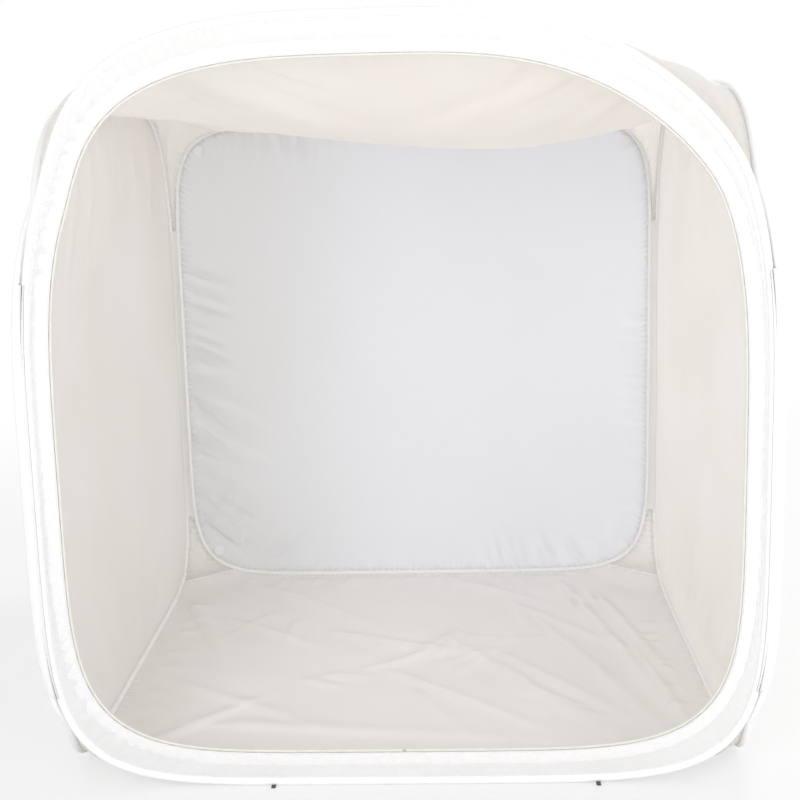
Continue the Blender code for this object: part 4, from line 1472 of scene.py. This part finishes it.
def colour_property(name, description, default):
    return FloatVectorProperty(
        name=name, description=description, subtype="COLOR", size=3, min=0, max=1, default=default
    )


def length_property(name, description, default, low, high):
    return FloatProperty(
        name=name, description=description, default=default, min=low, max=high, unit="LENGTH"
    )


def power_property(name, description, default):
    return FloatProperty(name=name, description=description, default=default, min=0, unit="POWER")


class TentClothSettings(bpy.types.PropertyGroup):
    """How the cloth of the tent hangs."""

    thickness: length_property("Cloth thickness", "Of the thin nylon", 0.0008, 0.0002, 0.002)
    fold_depth: FloatProperty(
        name="Fold depth", description="1 as it usually hangs, 0 is taut", default=1.0, min=0, max=1.5
    )
    border_pucker: length_property(
        "Border pucker", "Depth of the folds across the border's corners", 0.0012, 0, 0.003
    )
    glow: FloatProperty(
        name="Light let through",
        description="Share of the light that passes each face of the nylon",
        default=0.5,
        min=0,
        max=0.9,
        subtype="FACTOR",
    )


class TentColourSettings(bpy.types.PropertyGroup):
    """Colours of the cloth and trims."""

    wall: colour_property("Walls", "The left and right walls", (0.957, 0.942, 0.927))
    back: colour_property("Back wall", "The back wall", (0.950, 0.956, 0.984))
    ceiling: colour_property("Ceiling", "The sagging ceiling", (0.970, 0.950, 0.930))
    floor: colour_property("Floor", "The coated floor", (0.985, 0.968, 0.950))
    gusset: colour_property("Gussets", "The corner gussets", (0.965, 0.955, 0.940))
    border: colour_property("Border", "The border and the thread", (0.942, 0.942, 0.944))
    casing: colour_property("Casings", "The casings and the tapes of the seams", (0.980, 0.979, 0.977))
    loop_tape: colour_property("Loop tape", "The napped tape by the hem", (0.955, 0.945, 0.945))
    piping: colour_property("Piping", "The piping of the hem", (0.98, 0.965, 0.89))


class TentTrimSettings(bpy.types.PropertyGroup):
    """Casings, stitches and hooks."""

    gather_depth: length_property("Gather depth", "Of the casings' ruffles", 0.0004, 0, 0.002)
    gather_length: length_property("Gather length", "Between two ruffles", 0.014, 0.004, 0.05)
    stitch_length: length_property("Stitch length", "Of one thread", 0.0032, 0.001, 0.01)
    stitch_gap: length_property("Stitch gap", "Between two stitches", 0.0012, 0.0002, 0.01)
    thread_radius: length_property("Thread radius", "Of the sewing thread", 0.0004, 0.0001, 0.001)
    hook_spacing: length_property("Hook spacing", "Between the hooks of a coin", 0.0011, 0.0005, 0.004)
    hook_radius: length_property("Hook radius", "Of one hook", 0.00018, 0.0001, 0.001)


class TentLightSettings(bpy.types.PropertyGroup):
    """The studio's soft light."""

    world_strength: FloatProperty(name="Room light", description="All round", default=0.57, min=0, max=2)
    key_power: power_property("Key light", "From the front left", 31)
    fill_power: power_property("Fill light", "From the front right", 31)
    right_power: power_property("Right light", "From behind, at the right", 16)
    left_power: power_property("Left light", "From behind, at the left", 6)
    top_power: power_property("Top light", "From above the back", 12)


class TentOperator(bpy.types.Operator):
    """Builds one group of pieces."""

    bl_options = {"REGISTER", "UNDO"}
    build = None

    def execute(self, context):
        type(self).build()
        return {"FINISHED"}


def make_operator(build):
    """The operator that runs a function, named and described after it."""
    name = build.__name__.removeprefix("add_")
    parts = {
        "bl_idname": "tent." + name,
        "bl_label": name.replace("_", " ").capitalize(),
        "__doc__": build.__doc__.split(".")[0],
        "build": staticmethod(build),
    }
    return type("TENT_OT_" + name, (TentOperator,), parts)


# in the order in which they run
BUILDERS = (
    add_hoops,
    add_border,
    add_walls,
    add_ceiling,
    add_floor,
    add_gussets,
    add_seam_tapes,
    add_seam_webs,
    add_stitches,
    add_coins,
    add_tie_tabs,
    add_stage,
)
OPERATORS = [make_operator(build) for build in BUILDERS]
SETTINGS = {
    "tent_cloth": TentClothSettings,
    "tent_colours": TentColourSettings,
    "tent_trims": TentTrimSettings,
    "tent_light": TentLightSettings,
}


class TENT_PT_sidebar(bpy.types.Panel):
    """Lists the tent's settings and what builds each group of pieces."""

    bl_label = "Light Tent"
    bl_idname = "TENT_PT_sidebar"
    bl_space_type = "VIEW_3D"
    bl_region_type = "UI"
    bl_category = "Light Tent"

    def draw(self, context):
        for name, group in SETTINGS.items():
            box = self.layout.box()
            for setting in group.__annotations__:
                box.prop(getattr(context.scene, name), setting)
        for operator in OPERATORS:
            self.layout.operator(operator.bl_idname)


def register():
    for group in (*SETTINGS.values(), *OPERATORS, TENT_PT_sidebar):
        bpy.utils.register_class(group)
    for name, group in SETTINGS.items():
        setattr(bpy.types.Scene, name, PointerProperty(type=group))


def unregister():
    for name in SETTINGS:
        delattr(bpy.types.Scene, name)
    for group in (TENT_PT_sidebar, *OPERATORS[::-1], *list(SETTINGS.values())[::-1]):
        bpy.utils.unregister_class(group)


def main():
    register()
    for operator in OPERATORS:
        getattr(bpy.ops.tent, operator.bl_idname.split(".")[1])()


if __name__ == "__main__":
    main()
